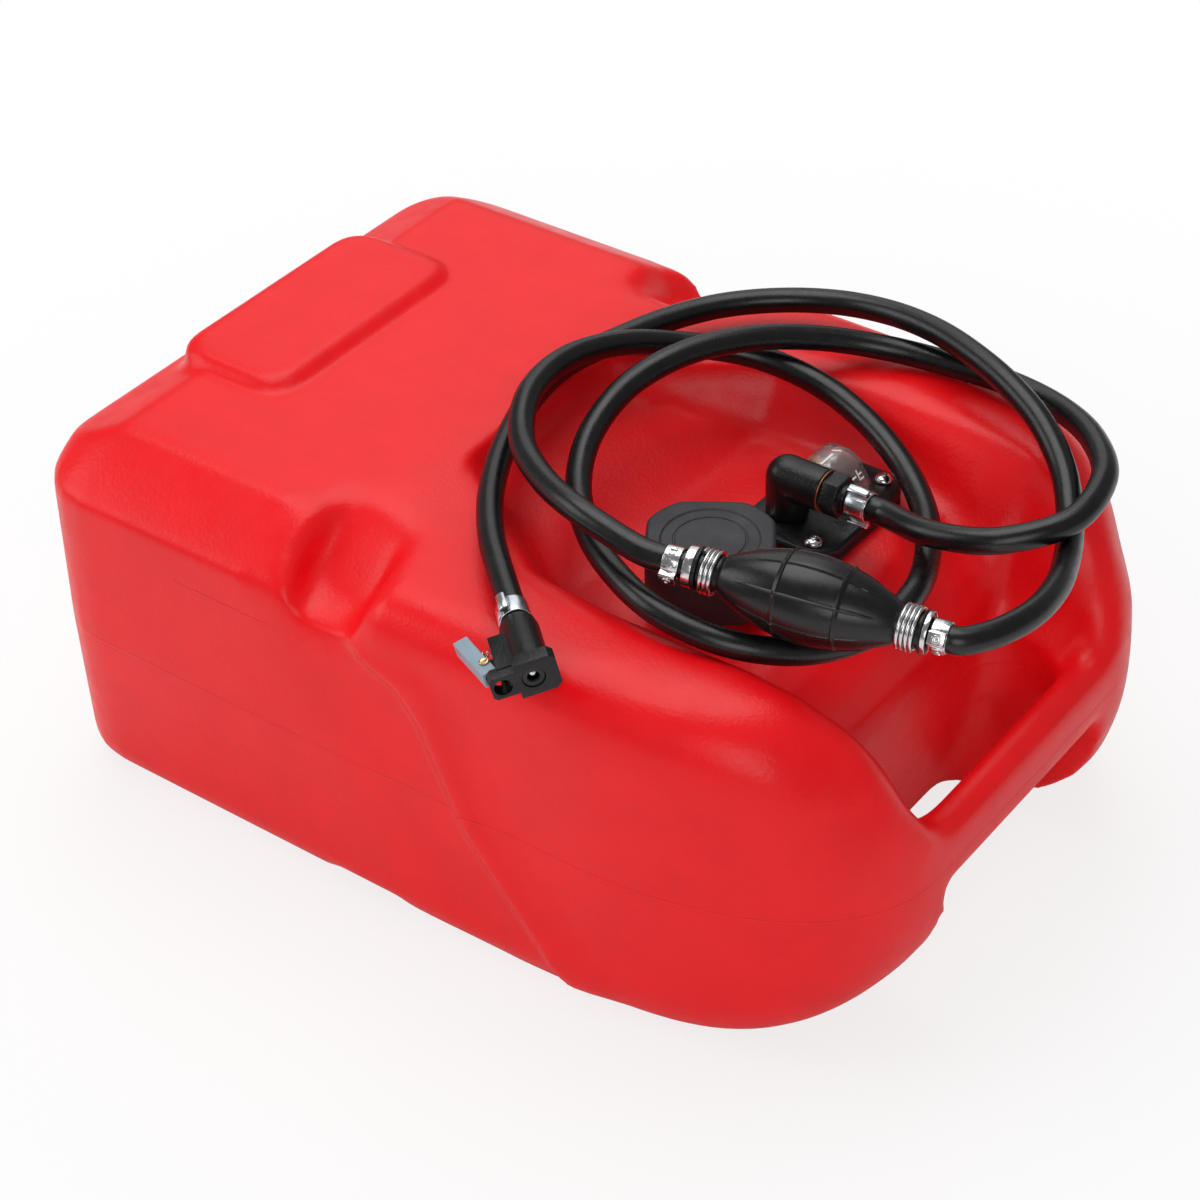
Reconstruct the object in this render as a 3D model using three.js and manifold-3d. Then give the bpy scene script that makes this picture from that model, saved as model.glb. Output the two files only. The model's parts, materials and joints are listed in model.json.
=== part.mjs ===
// Portable outboard fuel tank: a blow-moulded tank with a ratchet filler cap, a fuel head with a float
// gauge, and a fuel line with a primer bulb and a quick connector.
// Millimetres, +Z up. The origin is on the floor under the middle of the tank, and +X points to the
// carrying handle.

import * as THREE from 'three';
import { mergeVertices } from 'three/addons/utils/BufferGeometryUtils.js';
import Module from 'manifold-3d';

const wasm = await Module();
wasm.setup();

// Clearances shared by all pieces
const seat = 0.3; // gap between pieces that touch
const slip = 0.4; // gap round a piece that turns or slides
const overrun = 8; // how far a cutter runs past the face that it cuts
const sliver = 0.03; // a triangle lower than this is merged into its neighbours
const weld = 1e-4; // vertices nearer than this are one

// Tank body
const tank = {
  length: 483,
  width: 346,
  height: 200.5,
  wall: 4.5,
  partingHeight: 92,
  draft: 1.8,
  rearRadius: 38,
  footRadius: 17,
  chamferRun: 38,
  chamferDrop: 24.5,
  rearDrop: 16,
  chamferSoftShare: 0.12,
  lobeDrop: 5.5,
  lobeRadius: 24,
  lobeBlend: 60,
  noseRadius: 46,
  noseFootRadius: 34,
  noseLength: 183,
  noseFlat: 86,
  nosePower: 2.6,
  noseTopLength: 105,
  noseFootLength: 100,
  noseFootPower: 2.4,
};

const handle = {
  top: 112,
  bottom: 76,
  depth: 20,
  rounding: 8,
  span: 144,
  cornerRadius: 18,
  endWallShare: 1.8,
};

// Places along the tank are measured back from its nose, so the fittings keep together
const valley = {
  start: 289,
  stepRun: 6,
  stepDrop: 15,
  slopeRun: 72,
  deckDrop: 38.5,
  deckEnd: 117,
  frontWall: 65,
  frontLean: 14,
  frontFoot: 12,
  rimRear: 60,
  rimHalf: 109,
  rimRun: 95,
  rimFlareStart: 43,
  rimFlareShare: 0.35,
  floorRear: 50,
  floorHalf: 90,
  floorRun: 100,
  floorFillet: 8,
  rimFillet: 12,
};

const pocket = {
  start: 314,
  outerStart: 302,
  end: 273,
  inner: 109,
  bend: 147,
  bendDrop: 31,
  edgeDrop: 40,
  rearFlare: 3,
  frontFlare: 12,
};

const strapGroove = { start: 296, end: 254, depth: 9, flare: 6 };

const sidePanel = {
  depth: 2.4,
  band: 11,
  topDrop: 22.5,
  // Front edge of the flat side panel: distance back from the nose, and share of the tank's height
  edge: [
    [260, 0.883],
    [243, 0.848],
    [229, 0.758],
    [217, 0.608],
    [204, 0.449],
    [185, 0.309],
    [166, 0.17],
    [150, 0.04],
  ],
};

const rearPad = { start: 17, end: 84, width: 140, raise: 6, foot: 20, cornerRadius: 15, slope: 3.5 };

const neck = {
  noseGap: 153.4,
  y: -42.9,
  outerRadius: 22,
  boreRadius: 17.5,
  height: 18,
};

const cap = {
  radius: 32.6,
  flutes: 4,
  fluteDepth: 4.3,
  fluteHalf: 27,
  fluteTurn: 33,
  height: 29,
  skirtGap: 6,
  edgeRadius: 2.4,
  wall: 3,
  roof: 4,
  dialRadius: 23.3,
  dialDepth: 0.9,
  discRadius: 16.4,
  discDepth: 0.6,
  insertWall: 2.6,
  insertRoof: 3,
  gasketThickness: 2.2,
};

const head = {
  noseGap: 145,
  y: 41.75,
  depth: 54,
  width: 79,
  cornerCut: 12,
  cornerBendShare: 0.35,
  thickness: 7,
  gasketThickness: 1.6,
  screwSpanX: 29.5,
  screwSpanY: 63,
  holeRadius: 21,
  holeSpan: 13,
};

const screw = {
  shankRadius: 2.2,
  headRadius: 4.3,
  headHeight: 2.6,
  length: 17,
  recessRadius: 1.5,
  recessDepth: 1.4,
};

const elbow = {
  noseGap: 155,
  y: 25,
  radius: 10.8,
  axisRise: 20.5,
  reach: 22,
  spigotRadius: 5,
};

const barb = {
  ringRadius: 11,
  ringThickness: 0.7,
  nutFlats: 19,
  nutLength: 9,
  neckRadius: 7.4,
  neckLength: 3,
};

const pickup = {
  radius: 4,
  bore: 2.6,
  floorGap: 9,
  strainerRadius: 7,
  strainerHeight: 24,
  strainerWall: 1.6,
};

const gauge = {
  noseGap: 146,
  y: 49.5,
  lensLength: 34,
  lensWidth: 20,
  lensHeight: 22,
  lensWall: 1.6,
  flangeWidth: 2.2,
  flangeThickness: 1.4,
  facetShares: [0.62, 0.3],
  hubRadius: 3.2,
  hubWidth: 7,
  pinRadius: 1.2,
  pinLength: 24,
  pointerReach: 19,
  pointerWidth: 4,
  pointerThickness: 2.6,
  emptyAngle: 30,
  slotLength: 30,
  slotWidth: 15,
};

const float = {
  wireRadius: 1.3,
  eyeRadius: 3.6,
  eyeWidth: 2.4,
  drop: 18,
  dropBack: 4,
  floorGap: 2.3,
  reachDrop: 30,
  swing: 60,
  radius: 16,
  width: 36,
};

const hose = { radius: 6.5, sides: 10, stepLength: 19.5, clampSetback: 0.8, tailLeads: [2.5, 1, 0] };

const clamp = {
  thickness: 0.8,
  width: 11,
  bulbWidth: 8,
  earRise: 3.6,
  earWidth: 4.6,
  earThickness: 1,
  elbowEars: [15, 170],
  bulbEars: [80],
  connectorEars: [20],
};

const bulb = {
  bodyRear: 39,
  bodyFront: 44.2,
  neckRadius: 8.6,
  maxRadius: 20.4,
  swellPower: 0.8,
  wall: 3.2,
  ribRise: 0.9,
  ribRearShare: 0.36,
  ribFrontShare: 0.3,
  coilWire: 0.85,
  coilPitch: 2.15,
  ringThickness: 0.9,
  lipRadius: 10.4,
  ringSeatRadius: 8.8,
  stemLength: 14,
  valveBore: 3.3,
  seatBore: 1.9,
  ballRadius: 2.9,
};

// The two ends of the bulb: where the hose stops, the wide part of the valve, its bright ring, the wound
// clamp and the gap before the hose clamp, all along the bulb from its middle
const bulbEnds = {
  inlet: { hoseStop: 55.8, lip: 49.3, ring: 4.4, coilTurns: 3.5, coilStart: 40.6, clampGap: 2.4 },
  outlet: { hoseStop: 59, lip: 55.3, ring: 2.5, coilTurns: 4, coilStart: 45.4, clampGap: 0.5 },
};

const connector = {
  flangeWidth: 31,
  flangeThickness: 7,
  portSide: 11.5,
  flangeHalf: 9.5,
  lugHalf: 6,
  lugWidth: 12,
  barrelRadius: 9.2,
  barrelLength: 28,
  collarRadius: 8.4,
  collarLength: 4,
  blockLength: 21,
  blockReach: 14.5,
  blockHalf: 6.6,
  pinHoleOffset: 14,
  pinHoleRadius: 4.2,
  pinHoleDepth: 12,
  portRadius: 5.4,
  portDepth: 20,
  nickShare: 0.25,
  roll: 12,
};

const port = { ballRadius: 3.3, ballSetback: 5.6, sealWidth: 1.8, sealSetback: 0.6 };

const lever = {
  length: 29,
  height: 7.5,
  thickness: 5,
  wall: 1.4,
  ahead: 7.5,
  openAngle: 17,
  springShare: 0.3,
  pinRadius: 1.5,
  pinHead: 2.4,
  pinHeadHeight: 0.8,
  pivotGap: 4.2,
};

const spring = {
  turns: 4,
  portWire: 0.45,
  portRadius: 2.1,
  portEndGap: 0.51,
  leverWire: 0.32,
  leverRadius: 1.7,
  leverEndGap: 0.96,
};

// Centre lines of the two free hose stretches, as they lie on the tank: along from the elbow, across the
// tank, and above its top
const feedRoute = [
  [85.9, 14.5, -0.8], [120.2, 17.8, 7.3], [143.7, 43.1, 12.8], [141.1, 78.1, 14.8],
  [120.6, 107.2, 11.2], [92.5, 128.8, 5.7], [58.6, 139.8, 2.4], [22.8, 139.9, 1.4],
  [-11.8, 130.8, 4], [-39.7, 109.5, 11.2], [-60.7, 81.3, 18.3], [-78.1, 49.9, 20.2],
  [-88.1, 15.8, 16], [-85.1, -19.1, 8.9], [-69.2, -50.8, 3.9], [-44.4, -76.7, 2.4],
  [-14.4, -96.5, 3], [19.2, -108.9, 2.8], [53.8, -104.1, -2.6], [80.9, -81.9, -9.5],
  [97.7, -50.4, -10.9], [95.8, -15, -13.3], [83.1, 18.2, -18.7], [63.8, 48.4, -20.1],
  [37.1, 72.2, -16.8], [5.6, 88.2, -10.8], [-28.9, 95.8, -4.6], [-63.8, 91, 1.6], [-93, 71.6, 8.3],
  [-112.7, 43.1, 17.3], [-120.7, 8.9, 23.7], [-116.1, -26.6, 24.6], [-97.5, -56.8, 22],
  [-68.9, -78.3, 23.6], [-36.4, -92.9, 26.7], [-1, -97.1, 22.9],
];
const deliveryRoute = [
  [164.3, -28.8, 11], [159.4, 1.3, 6.8], [149.4, 30, 0.7], [135.9, 57.6, -1], [118.6, 81.8, 6.8],
  [95.6, 100.6, 15.1], [68.9, 115.7, 19.1], [40.8, 128.8, 19.7], [11.9, 139.9, 17.9],
  [-18.1, 146.6, 14.1], [-48.7, 145.5, 10.2], [-76.9, 133.4, 8.1], [-99.6, 112.5, 7.7],
  [-115.1, 85.8, 7.7], [-125.2, 56.5, 7.6], [-132.5, 26.4, 7.8], [-130.2, -4.4, 7.7],
  [-120.8, -33.9, 7.7], [-108.4, -62.3, 7.7], [-92.5, -88.8, 7.8], [-72.8, -112.7, 7.3],
  [-50.1, -133.8, 7.5],
];
const bulbInlet = [14.7, -94.7, 21.5];
const bulbOutlet = [141.8, -65.2, 15];
const connectorTail = [-24.7, -156, 7.5];
const connectorHeading = -41.3;

const smooth = (value) => {
  const t = THREE.MathUtils.clamp(value, 0, 1);
  return t * t * (3 - 2 * t);
};
const mix = THREE.MathUtils.lerp;
const degrees = THREE.MathUtils.degToRad;
const fromRear = (distance) => distance - tank.length / 2;
const fromNose = (distance) => tank.length - distance;
const noseX = (distance) => tank.length / 2 - distance;
const deckHeight = tank.height - valley.deckDrop;
const valleyStart = fromNose(valley.start);
const deckEnd = fromNose(valley.deckEnd);
const frontWall = fromNose(valley.frontWall);
const pocketStart = fromNose(pocket.start);
const pocketEnd = fromNose(pocket.end);
const neckX = noseX(neck.noseGap);
const headX = noseX(head.noseGap);
const elbowX = noseX(elbow.noseGap);
const gaugeX = noseX(gauge.noseGap);
const onRoute = ([along, y, rise]) => [elbowX + along, y, tank.height + rise];

// Solids and booleans

// Turns any closed geometry into a solid with merged vertices and outward faces.
function solid(geometry) {
  const bare = geometry.index ? geometry.toNonIndexed() : geometry.clone();
  bare.deleteAttribute('normal');
  bare.deleteAttribute('uv');
  const merged = mergeVertices(bare, weld);
  const place = merged.attributes.position;
  const kept = [];
  let volume = 0;
  for (let i = 0; i < merged.index.count; i += 3) {
    const [a, b, c] = [0, 1, 2].map((k) => merged.index.getX(i + k));
    if (a === b || b === c || a === c) continue;
    kept.push(a, b, c);
    const corners = [a, b, c].map((k) => new THREE.Vector3().fromBufferAttribute(place, k));
    volume += corners[0].dot(corners[1].cross(corners[2]));
  }
  if (volume < 0) kept.reverse();
  return new wasm.Manifold(new wasm.Mesh({
    numProp: 3,
    vertProperties: new Float32Array(place.array),
    triVerts: new Uint32Array(kept),
  }));
}

function geometryOf(body) {
  const mesh = body.getMesh();
  const geometry = new THREE.BufferGeometry();
  geometry.setAttribute('position', new THREE.BufferAttribute(new Float32Array(mesh.vertProperties), 3));
  geometry.setIndex(new THREE.BufferAttribute(new Uint32Array(mesh.triVerts), 1));
  const flat = geometry.toNonIndexed();
  flat.computeVertexNormals();
  return flat;
}

// Merges the two nearest corners of each triangle that is too thin for a clean solid.
function withoutSlivers(body) {
  const mesh = body.simplify(sliver).getMesh();
  const place = (i) => new THREE.Vector3().fromArray(mesh.vertProperties, 3 * i);
  const heir = new Map();
  const kept = (i) => (heir.has(i) ? kept(heir.get(i)) : i);
  for (let i = 0; i < mesh.triVerts.length; i += 3) {
    const corners = [0, 1, 2].map((k) => kept(mesh.triVerts[i + k]));
    const edges = [0, 1, 2].map((k) => [corners[k], corners[(k + 1) % 3]]);
    const lengths = edges.map(([a, b]) => place(a).distanceTo(place(b)));
    const area = new THREE.Triangle(...corners.map(place)).getArea();
    const [from, to] = edges[lengths.indexOf(Math.min(...lengths))];
    if (from !== to && 2 * area < sliver * Math.max(...lengths)) heir.set(from, to);
  }
  const triangles = [];
  for (let i = 0; i < mesh.triVerts.length; i += 3) {
    const [a, b, c] = [0, 1, 2].map((k) => kept(mesh.triVerts[i + k]));
    if (a !== b && b !== c && c !== a) triangles.push(a, b, c);
  }
  return new wasm.Manifold(new wasm.Mesh({
    numProp: 3,
    vertProperties: mesh.vertProperties,
    triVerts: new Uint32Array(triangles),
  }));
}

const join = (...bodies) => bodies.reduce((a, b) => a.add(b));
const cut = (body, ...tools) => tools.reduce((a, b) => a.subtract(b), body);

// Skins a stack of rings with the same number of points and closes both ends with fans.
function loft(rings) {
  const count = rings[0].length;
  const points = rings.flat();
  const faces = [];
  for (let i = 0; i < rings.length - 1; i += 1) {
    for (let j = 0; j < count; j += 1) {
      const a = i * count + j;
      const b = i * count + ((j + 1) % count);
      faces.push(a, b, b + count, a, b + count, a + count);
    }
  }
  [0, rings.length - 1].forEach((ring) => {
    const centre = new THREE.Vector3();
    rings[ring].forEach((p) => centre.add(p));
    const hub = points.push(centre.divideScalar(count)) - 1;
    for (let j = 0; j < count; j += 1) {
      const a = ring * count + j;
      const b = ring * count + ((j + 1) % count);
      faces.push(...(ring === 0 ? [hub, b, a] : [hub, a, b]));
    }
  });
  const geometry = new THREE.BufferGeometry().setFromPoints(points);
  geometry.setIndex(faces);
  return solid(geometry);
}

// Revolves a profile of [radius, along] pairs about +Z, or about +X when asked.
function turned(profile, sides, alongX = false) {
  const outline = profile.map(([radius, along]) => new THREE.Vector2(radius, along));
  const geometry = new THREE.LatheGeometry(outline, sides);
  geometry.rotateX(Math.PI / 2);
  if (alongX) geometry.rotateY(Math.PI / 2);
  return solid(geometry);
}

// A round bar or a tube, along +Z from low to high, or along +X when asked.
const rod = (radius, low, high, sides = 24, alongX = false) => (
  turned([[0, low], [radius, low], [radius, high], [0, high]], sides, alongX)
);
const sleeve = (inner, outer, low, high, sides = 32, alongX = false) => (
  turned([[inner, low], [outer, low], [outer, high], [inner, high], [inner, low]], sides, alongX)
);

function prism(outline, low, high) {
  const shape = new THREE.Shape(outline.map(([x, y]) => new THREE.Vector2(x, y)));
  const geometry = new THREE.ExtrudeGeometry(shape, { depth: high - low, bevelEnabled: false });
  return solid(geometry.translate(0, 0, low));
}

// A prism whose outline is drawn in X and Z and which runs along Y.
function sidePrism(outline, low, high) {
  const geometry = new THREE.ExtrudeGeometry(
    new THREE.Shape(outline.map(([x, z]) => new THREE.Vector2(x, z))),
    { depth: high - low, bevelEnabled: false },
  );
  geometry.rotateX(Math.PI / 2);
  return solid(geometry.translate(0, high, 0));
}

const box = (low, high) => {
  const size = high.map((value, k) => value - low[k]);
  const geometry = new THREE.BoxGeometry(...size);
  return solid(geometry.translate(...low.map((value, k) => value + size[k] / 2)));
};

const moved = (body, x, y, z) => body.translate([x, y, z]);

// Corner points of a rounded rectangle, the same number at every size.
function roundedRing(x0, x1, half, radius, z, steps = 5) {
  const ring = [];
  const corners = [[x1 - radius, half - radius, 0], [x0 + radius, half - radius, 90],
    [x0 + radius, radius - half, 180], [x1 - radius, radius - half, 270]];
  corners.forEach(([cx, cy, from]) => {
    for (let k = 0; k <= steps; k += 1) {
      const angle = degrees(from + (90 * k) / steps);
      ring.push(new THREE.Vector3(cx + radius * Math.cos(angle), cy + radius * Math.sin(angle), z));
    }
  });
  return ring;
}

// Outer form of the tank

const noseShare = (x) => THREE.MathUtils.clamp((x - tank.length + tank.noseLength) / tank.noseLength, 0, 1);

// How far the sloping rear edge of the top lies below the flat top
const rearFall = (x) => tank.rearDrop * Math.max(0, 1 - x / tank.chamferRun);

function halfWidthAt(x) {
  const rear = tank.rearRadius;
  if (x < rear) return tank.width / 2 - rear + Math.sqrt(rear ** 2 - (rear - x) ** 2);
  return mix(tank.noseFlat, tank.width / 2, Math.sqrt(1 - noseShare(x) ** tank.nosePower));
}

function topHeightAt(x) {
  const lobe = smooth((x - pocketStart) / tank.lobeBlend);
  const level = mix(tank.height - rearFall(x), tank.height - tank.lobeDrop, lobe);
  const u = THREE.MathUtils.clamp((x - tank.length + tank.noseTopLength) / tank.noseTopLength, 0, 1);
  return mix(handle.top, level, Math.sqrt(1 - u ** 3));
}

function footHeightAt(x) {
  const rear = tank.footRadius;
  if (x < rear) return rear - Math.sqrt(rear ** 2 - (rear - x) ** 2);
  const u = THREE.MathUtils.clamp((x - tank.length + tank.noseFootLength) / tank.noseFootLength, 0, 1);
  return handle.bottom * (1 - Math.sqrt(1 - u ** tank.noseFootPower));
}

// One closed cross-section of the tank, set in by the wall when it shapes the inside.
function tankRing(x, inset) {
  const half = halfWidthAt(x) - inset;
  const top = topHeightAt(x) - inset;
  const foot = footHeightAt(x) + inset;
  const nose = noseShare(x) ** 2;
  const lobe = smooth((x - pocketStart) / tank.lobeBlend);
  const room = (top - foot) * 0.45;
  const draft = tank.draft * (1 - nose);
  const footRadius = Math.min(mix(tank.footRadius, tank.noseFootRadius, nose), room);
  const round = mix(tank.lobeRadius, tank.noseRadius, nose);
  const rear = 1 - rearFall(x) / tank.chamferDrop;
  const run = Math.min(mix(tank.chamferRun * rear, round, lobe), half);
  const drop = Math.min(mix(tank.chamferDrop * rear, round, lobe), room);
  const softness = mix(tank.chamferSoftShare, 1, lobe);
  const along = inset + (x * (tank.length - 2 * inset)) / tank.length;
  const steps = 5;
  const profile = [];
  for (let k = 0; k <= steps; k += 1) {
    const angle = degrees(90 * (k / steps - 1));
    const reach = half - draft - footRadius + footRadius * Math.cos(angle);
    profile.push([reach, foot + footRadius + footRadius * Math.sin(angle)]);
  }
  profile.push([half, tank.partingHeight]);
  for (let k = 0; k <= steps; k += 1) {
    const t = k / steps;
    const angle = degrees(90 * t);
    const reach = mix(1 - t, Math.cos(angle), softness);
    const rise = mix(t, Math.sin(angle), softness);
    profile.push([half - draft - run + run * reach, top - drop + drop * rise]);
  }
  const right = profile.map(([y, z]) => new THREE.Vector3(fromRear(along), y, z));
  const left = profile.map(([y, z]) => new THREE.Vector3(fromRear(along), -y, z)).reverse();
  return [...right, ...left];
}

function tankStations() {
  const stations = [];
  for (let k = 0; k < 5; k += 1) stations.push(tank.rearRadius * (1 - Math.cos(degrees(18 * k))));
  stations.push(tank.rearRadius, tank.chamferRun, pocketStart);
  for (let k = 1; k <= 4; k += 1) stations.push(pocketStart + (tank.lobeBlend * k) / 4);
  const noseStart = tank.length - tank.noseLength;
  for (let k = 0; k <= 12; k += 1) stations.push(noseStart + tank.noseLength * Math.sin(degrees(7.5 * k)));
  return stations;
}

const tankForm = (inset) => loft(tankStations().map((x) => tankRing(x, inset)));

// The valley between the two lobes, which carries the cap and the fuel head and opens to the handle

function valleyFloor() {
  const slopeStart = valleyStart + valley.stepRun;
  const path = [
    [valleyStart, tank.height + seat],
    [slopeStart, tank.height - valley.stepDrop],
    [slopeStart + valley.slopeRun / 2, mix(tank.height - valley.stepDrop, deckHeight, 0.5)],
    [slopeStart + valley.slopeRun, deckHeight],
    [mix(slopeStart + valley.slopeRun, deckEnd, 0.5), deckHeight],
  ];
  for (let k = 0; k <= 5; k += 1) {
    const angle = degrees(18 * k);
    path.push([
      mix(deckEnd, frontWall, Math.sin(angle)),
      mix(handle.top, deckHeight, Math.cos(angle)),
    ]);
  }
  const middle = tank.length - handle.depth / 2;
  for (let k = 0; k <= 6; k += 1) {
    const angle = degrees(30 * k - 90);
    path.push([
      middle + (handle.depth / 2) * Math.sin(angle),
      handle.top - handle.rounding * (1 - Math.cos(angle)),
    ]);
  }
  path.push([tank.length + overrun, handle.top - handle.rounding]);
  return path;
}

function valleyRing(x, floorHeight, grow) {
  const settle = smooth((x - valleyStart) / valley.floorRun);
  const opening = smooth((x - deckEnd) / (frontWall - deckEnd));
  const floorHalf = mix(mix(valley.floorRear, valley.floorHalf, settle), handle.span / 2, opening) + grow;
  const flare = Math.max(0, x - fromNose(valley.rimFlareStart)) * valley.rimFlareShare;
  const widening = smooth((x - valleyStart) / valley.rimRun);
  const rimHalf = mix(valley.rimRear, valley.rimHalf, widening) + flare + grow;
  const floor = floorHeight - grow;
  const rim = Math.max(topHeightAt(Math.min(x, tank.length)), floor + seat);
  const wallRun = new THREE.Vector2(rimHalf - floorHalf, rim - floor);
  const fillet = Math.min(valley.floorFillet, wallRun.length() * 0.42);
  const shoulder = Math.min(valley.rimFillet, wallRun.length() * 0.42);
  const step = wallRun.clone().normalize();
  const low = new THREE.Vector2(floorHalf, floor);
  const high = new THREE.Vector2(rimHalf, rim);
  const bend = (before, corner, after) => (
    before.clone().multiplyScalar(0.25).addScaledVector(corner, 0.5).addScaledVector(after, 0.25)
  );
  const onFloor = new THREE.Vector2(floorHalf - fillet, floor);
  const onWall = low.clone().addScaledVector(step, fillet);
  const underRim = high.clone().addScaledVector(step, -shoulder);
  const onLobe = new THREE.Vector2(rimHalf + shoulder, rim + seat);
  const clear = new THREE.Vector2(rimHalf + shoulder, tank.height + overrun + grow);
  const lowBend = bend(onFloor, low, onWall);
  const highBend = bend(underRim, high, onLobe);
  const half = [onFloor, lowBend, onWall, underRim, highBend, onLobe, clear];
  const right = half.map((p) => new THREE.Vector3(fromRear(x - grow), p.x, p.y));
  const left = half.map((p) => new THREE.Vector3(fromRear(x - grow), -p.x, p.y)).reverse();
  return [...right, ...left];
}

const valleyCutter = (grow) => loft(valleyFloor().map(([x, z]) => valleyRing(x, z, grow)));

// The finger opening behind the handle bar, and the space under the bar

function fingerGap(grow) {
  const back = tank.length - handle.depth + grow;
  const half = handle.span / 2 + grow * handle.endWallShare;
  const front = frontWall - grow;
  const levels = [
    [-overrun, front - valley.frontLean - valley.frontFoot],
    [0, front - valley.frontLean - valley.frontFoot],
    [valley.frontFoot / 2, front - valley.frontLean - valley.frontFoot / 3],
    [valley.frontFoot * 1.5, front - valley.frontLean],
    [tank.partingHeight, front],
    [handle.top + overrun, front],
  ];
  const end = grow > 0 ? tank.length + overrun : back;
  return loft(levels.map(([z, x]) => (
    roundedRing(fromRear(x), fromRear(end), half, handle.cornerRadius, z)
  )));
}

function underHandle() {
  const bar = tank.length - handle.depth;
  const outline = [
    [fromRear(frontWall), -overrun],
    [fromRear(frontWall), handle.bottom - handle.rounding],
  ];
  for (let k = 0; k <= 6; k += 1) {
    const angle = degrees(30 * k - 90);
    outline.push([
      fromRear(bar + (handle.depth / 2) * (1 + Math.sin(angle))),
      handle.bottom + handle.rounding * (1 - Math.cos(angle)),
    ]);
  }
  outline.push([fromRear(tank.length + overrun), handle.bottom + handle.rounding]);
  outline.push([fromRear(tank.length + overrun), -overrun]);
  return sidePrism(outline, -handle.span / 2, handle.span / 2);
}

// Recesses in the tank's edges

function strapPocket(side, grow) {
  const edges = [
    [pocket.inner - overrun, tank.height + overrun / 2, pocketStart],
    [pocket.inner, tank.height, pocketStart],
    [pocket.bend, tank.height - pocket.bendDrop, pocketStart],
    [tank.width / 2 + overrun, tank.height - pocket.edgeDrop, fromNose(pocket.outerStart)],
  ];
  const rings = edges.map(([y, floor, rear]) => {
    const low = floor - grow;
    const high = tank.height + overrun * 2;
    const rise = (high - low) / pocket.bendDrop;
    const ring = [
      [rear - grow, low],
      [pocketEnd + grow, low],
      [pocketEnd + grow + pocket.frontFlare * rise, high],
      [rear - grow - pocket.rearFlare * rise, high],
    ];
    return ring.map(([x, z]) => new THREE.Vector3(fromRear(x), side * (y - grow), z));
  });
  return loft(rings);
}

function strapGrooveCutter(grow) {
  const { depth, flare } = strapGroove;
  const start = fromNose(strapGroove.start);
  const end = fromNose(strapGroove.end);
  const outline = [
    [fromRear(start - flare - grow), -overrun],
    [fromRear(start - flare - grow), 0],
    [fromRear(start - grow), depth + grow],
    [fromRear(end + grow), depth + grow],
    [fromRear(end + flare + grow), 0],
    [fromRear(end + flare + grow), -overrun],
  ];
  return sidePrism(outline, -tank.width, tank.width);
}

function sideRecess(side, grow) {
  const ringAt = (reach, shift) => {
    const edge = sidePanel.edge.map(([x, z]) => [tank.length - x + shift - grow, z * tank.height]);
    const [topX] = edge[0];
    const [footX] = edge[edge.length - 1];
    const outline = [
      [topX, tank.height - sidePanel.topDrop + overrun * 3],
      ...edge,
      [footX + sidePanel.band, -overrun],
      [tank.length, -overrun],
      [tank.length, tank.height - sidePanel.topDrop + overrun * 3],
    ];
    return outline.map(([x, z]) => new THREE.Vector3(fromRear(x), side * reach, z));
  };
  const skin = tank.width / 2 - grow;
  return loft([ringAt(skin - sidePanel.depth, sidePanel.band), ringAt(skin, 0), ringAt(skin + overrun, 0)]);
}

function rearPadForm() {
  const { start, end, width, raise, foot, cornerRadius, slope } = rearPad;
  const level = (z, out) => roundedRing(
    fromRear(start - out),
    fromRear(end + out),
    width / 2 + out,
    cornerRadius + out,
    z,
    4,
  );
  return loft([
    level(tank.height - foot, slope),
    level(tank.height, slope),
    level(tank.height + raise * 0.75, slope * 0.25),
    level(tank.height + raise, -slope * 0.4),
  ]);
}

// Screw places on the deck and through the head plate
const screwPlaces = [[-1, -1], [1, -1], [-1, 1], [1, 1]].map(([sx, sy]) => (
  [headX + (sx * head.screwSpanX) / 2, head.y + (sy * head.screwSpanY) / 2]
));

function stadium(x, y, radius, span, steps = 12) {
  const points = [];
  for (let k = 0; k <= steps; k += 1) {
    const angle = Math.PI * (k / steps);
    points.push([x + radius * Math.cos(angle), y + span / 2 + radius * Math.sin(angle)]);
  }
  for (let k = 0; k <= steps; k += 1) {
    const angle = Math.PI * (1 + k / steps);
    points.push([x + radius * Math.cos(angle), y - span / 2 + radius * Math.sin(angle)]);
  }
  return points;
}

const headOutline = stadium(headX, head.y, head.holeRadius, head.holeSpan);

function tankShell() {
  const outer = cut(
    tankForm(0),
    valleyCutter(0),
    fingerGap(0),
    underHandle(),
    strapPocket(1, 0),
    strapPocket(-1, 0),
    strapGrooveCutter(0),
    sideRecess(1, 0),
    sideRecess(-1, 0),
  );
  const wall = tank.wall;
  const inner = cut(
    tankForm(wall),
    valleyCutter(wall),
    fingerGap(wall),
    strapPocket(1, wall),
    strapPocket(-1, wall),
    strapGrooveCutter(wall),
    sideRecess(1, wall),
    sideRecess(-1, wall),
  );
  const neckTop = deckHeight + neck.height;
  const underDeck = deckHeight - wall - overrun;
  const neckRing = moved(rod(neck.outerRadius, deckHeight - wall / 2, neckTop, 40), neckX, neck.y, 0);
  const neckBore = moved(rod(neck.boreRadius, underDeck, neckTop + overrun, 40), neckX, neck.y, 0);
  const headHole = prism(headOutline, underDeck, deckHeight + overrun);
  const screwHoles = screwPlaces.map(([x, y]) => (
    moved(rod(screw.shankRadius + seat, underDeck, deckHeight + overrun, 12), x, y, 0)
  ));
  const shell = cut(join(cut(outer, inner), rearPadForm(), neckRing), neckBore, headHole, ...screwHoles);
  return withoutSlivers(shell);
}

// Filler cap: a fluted grip, a threaded insert that it drives through a ratchet, and a gasket

const capSeatHeight = deckHeight + neck.height;

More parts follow.
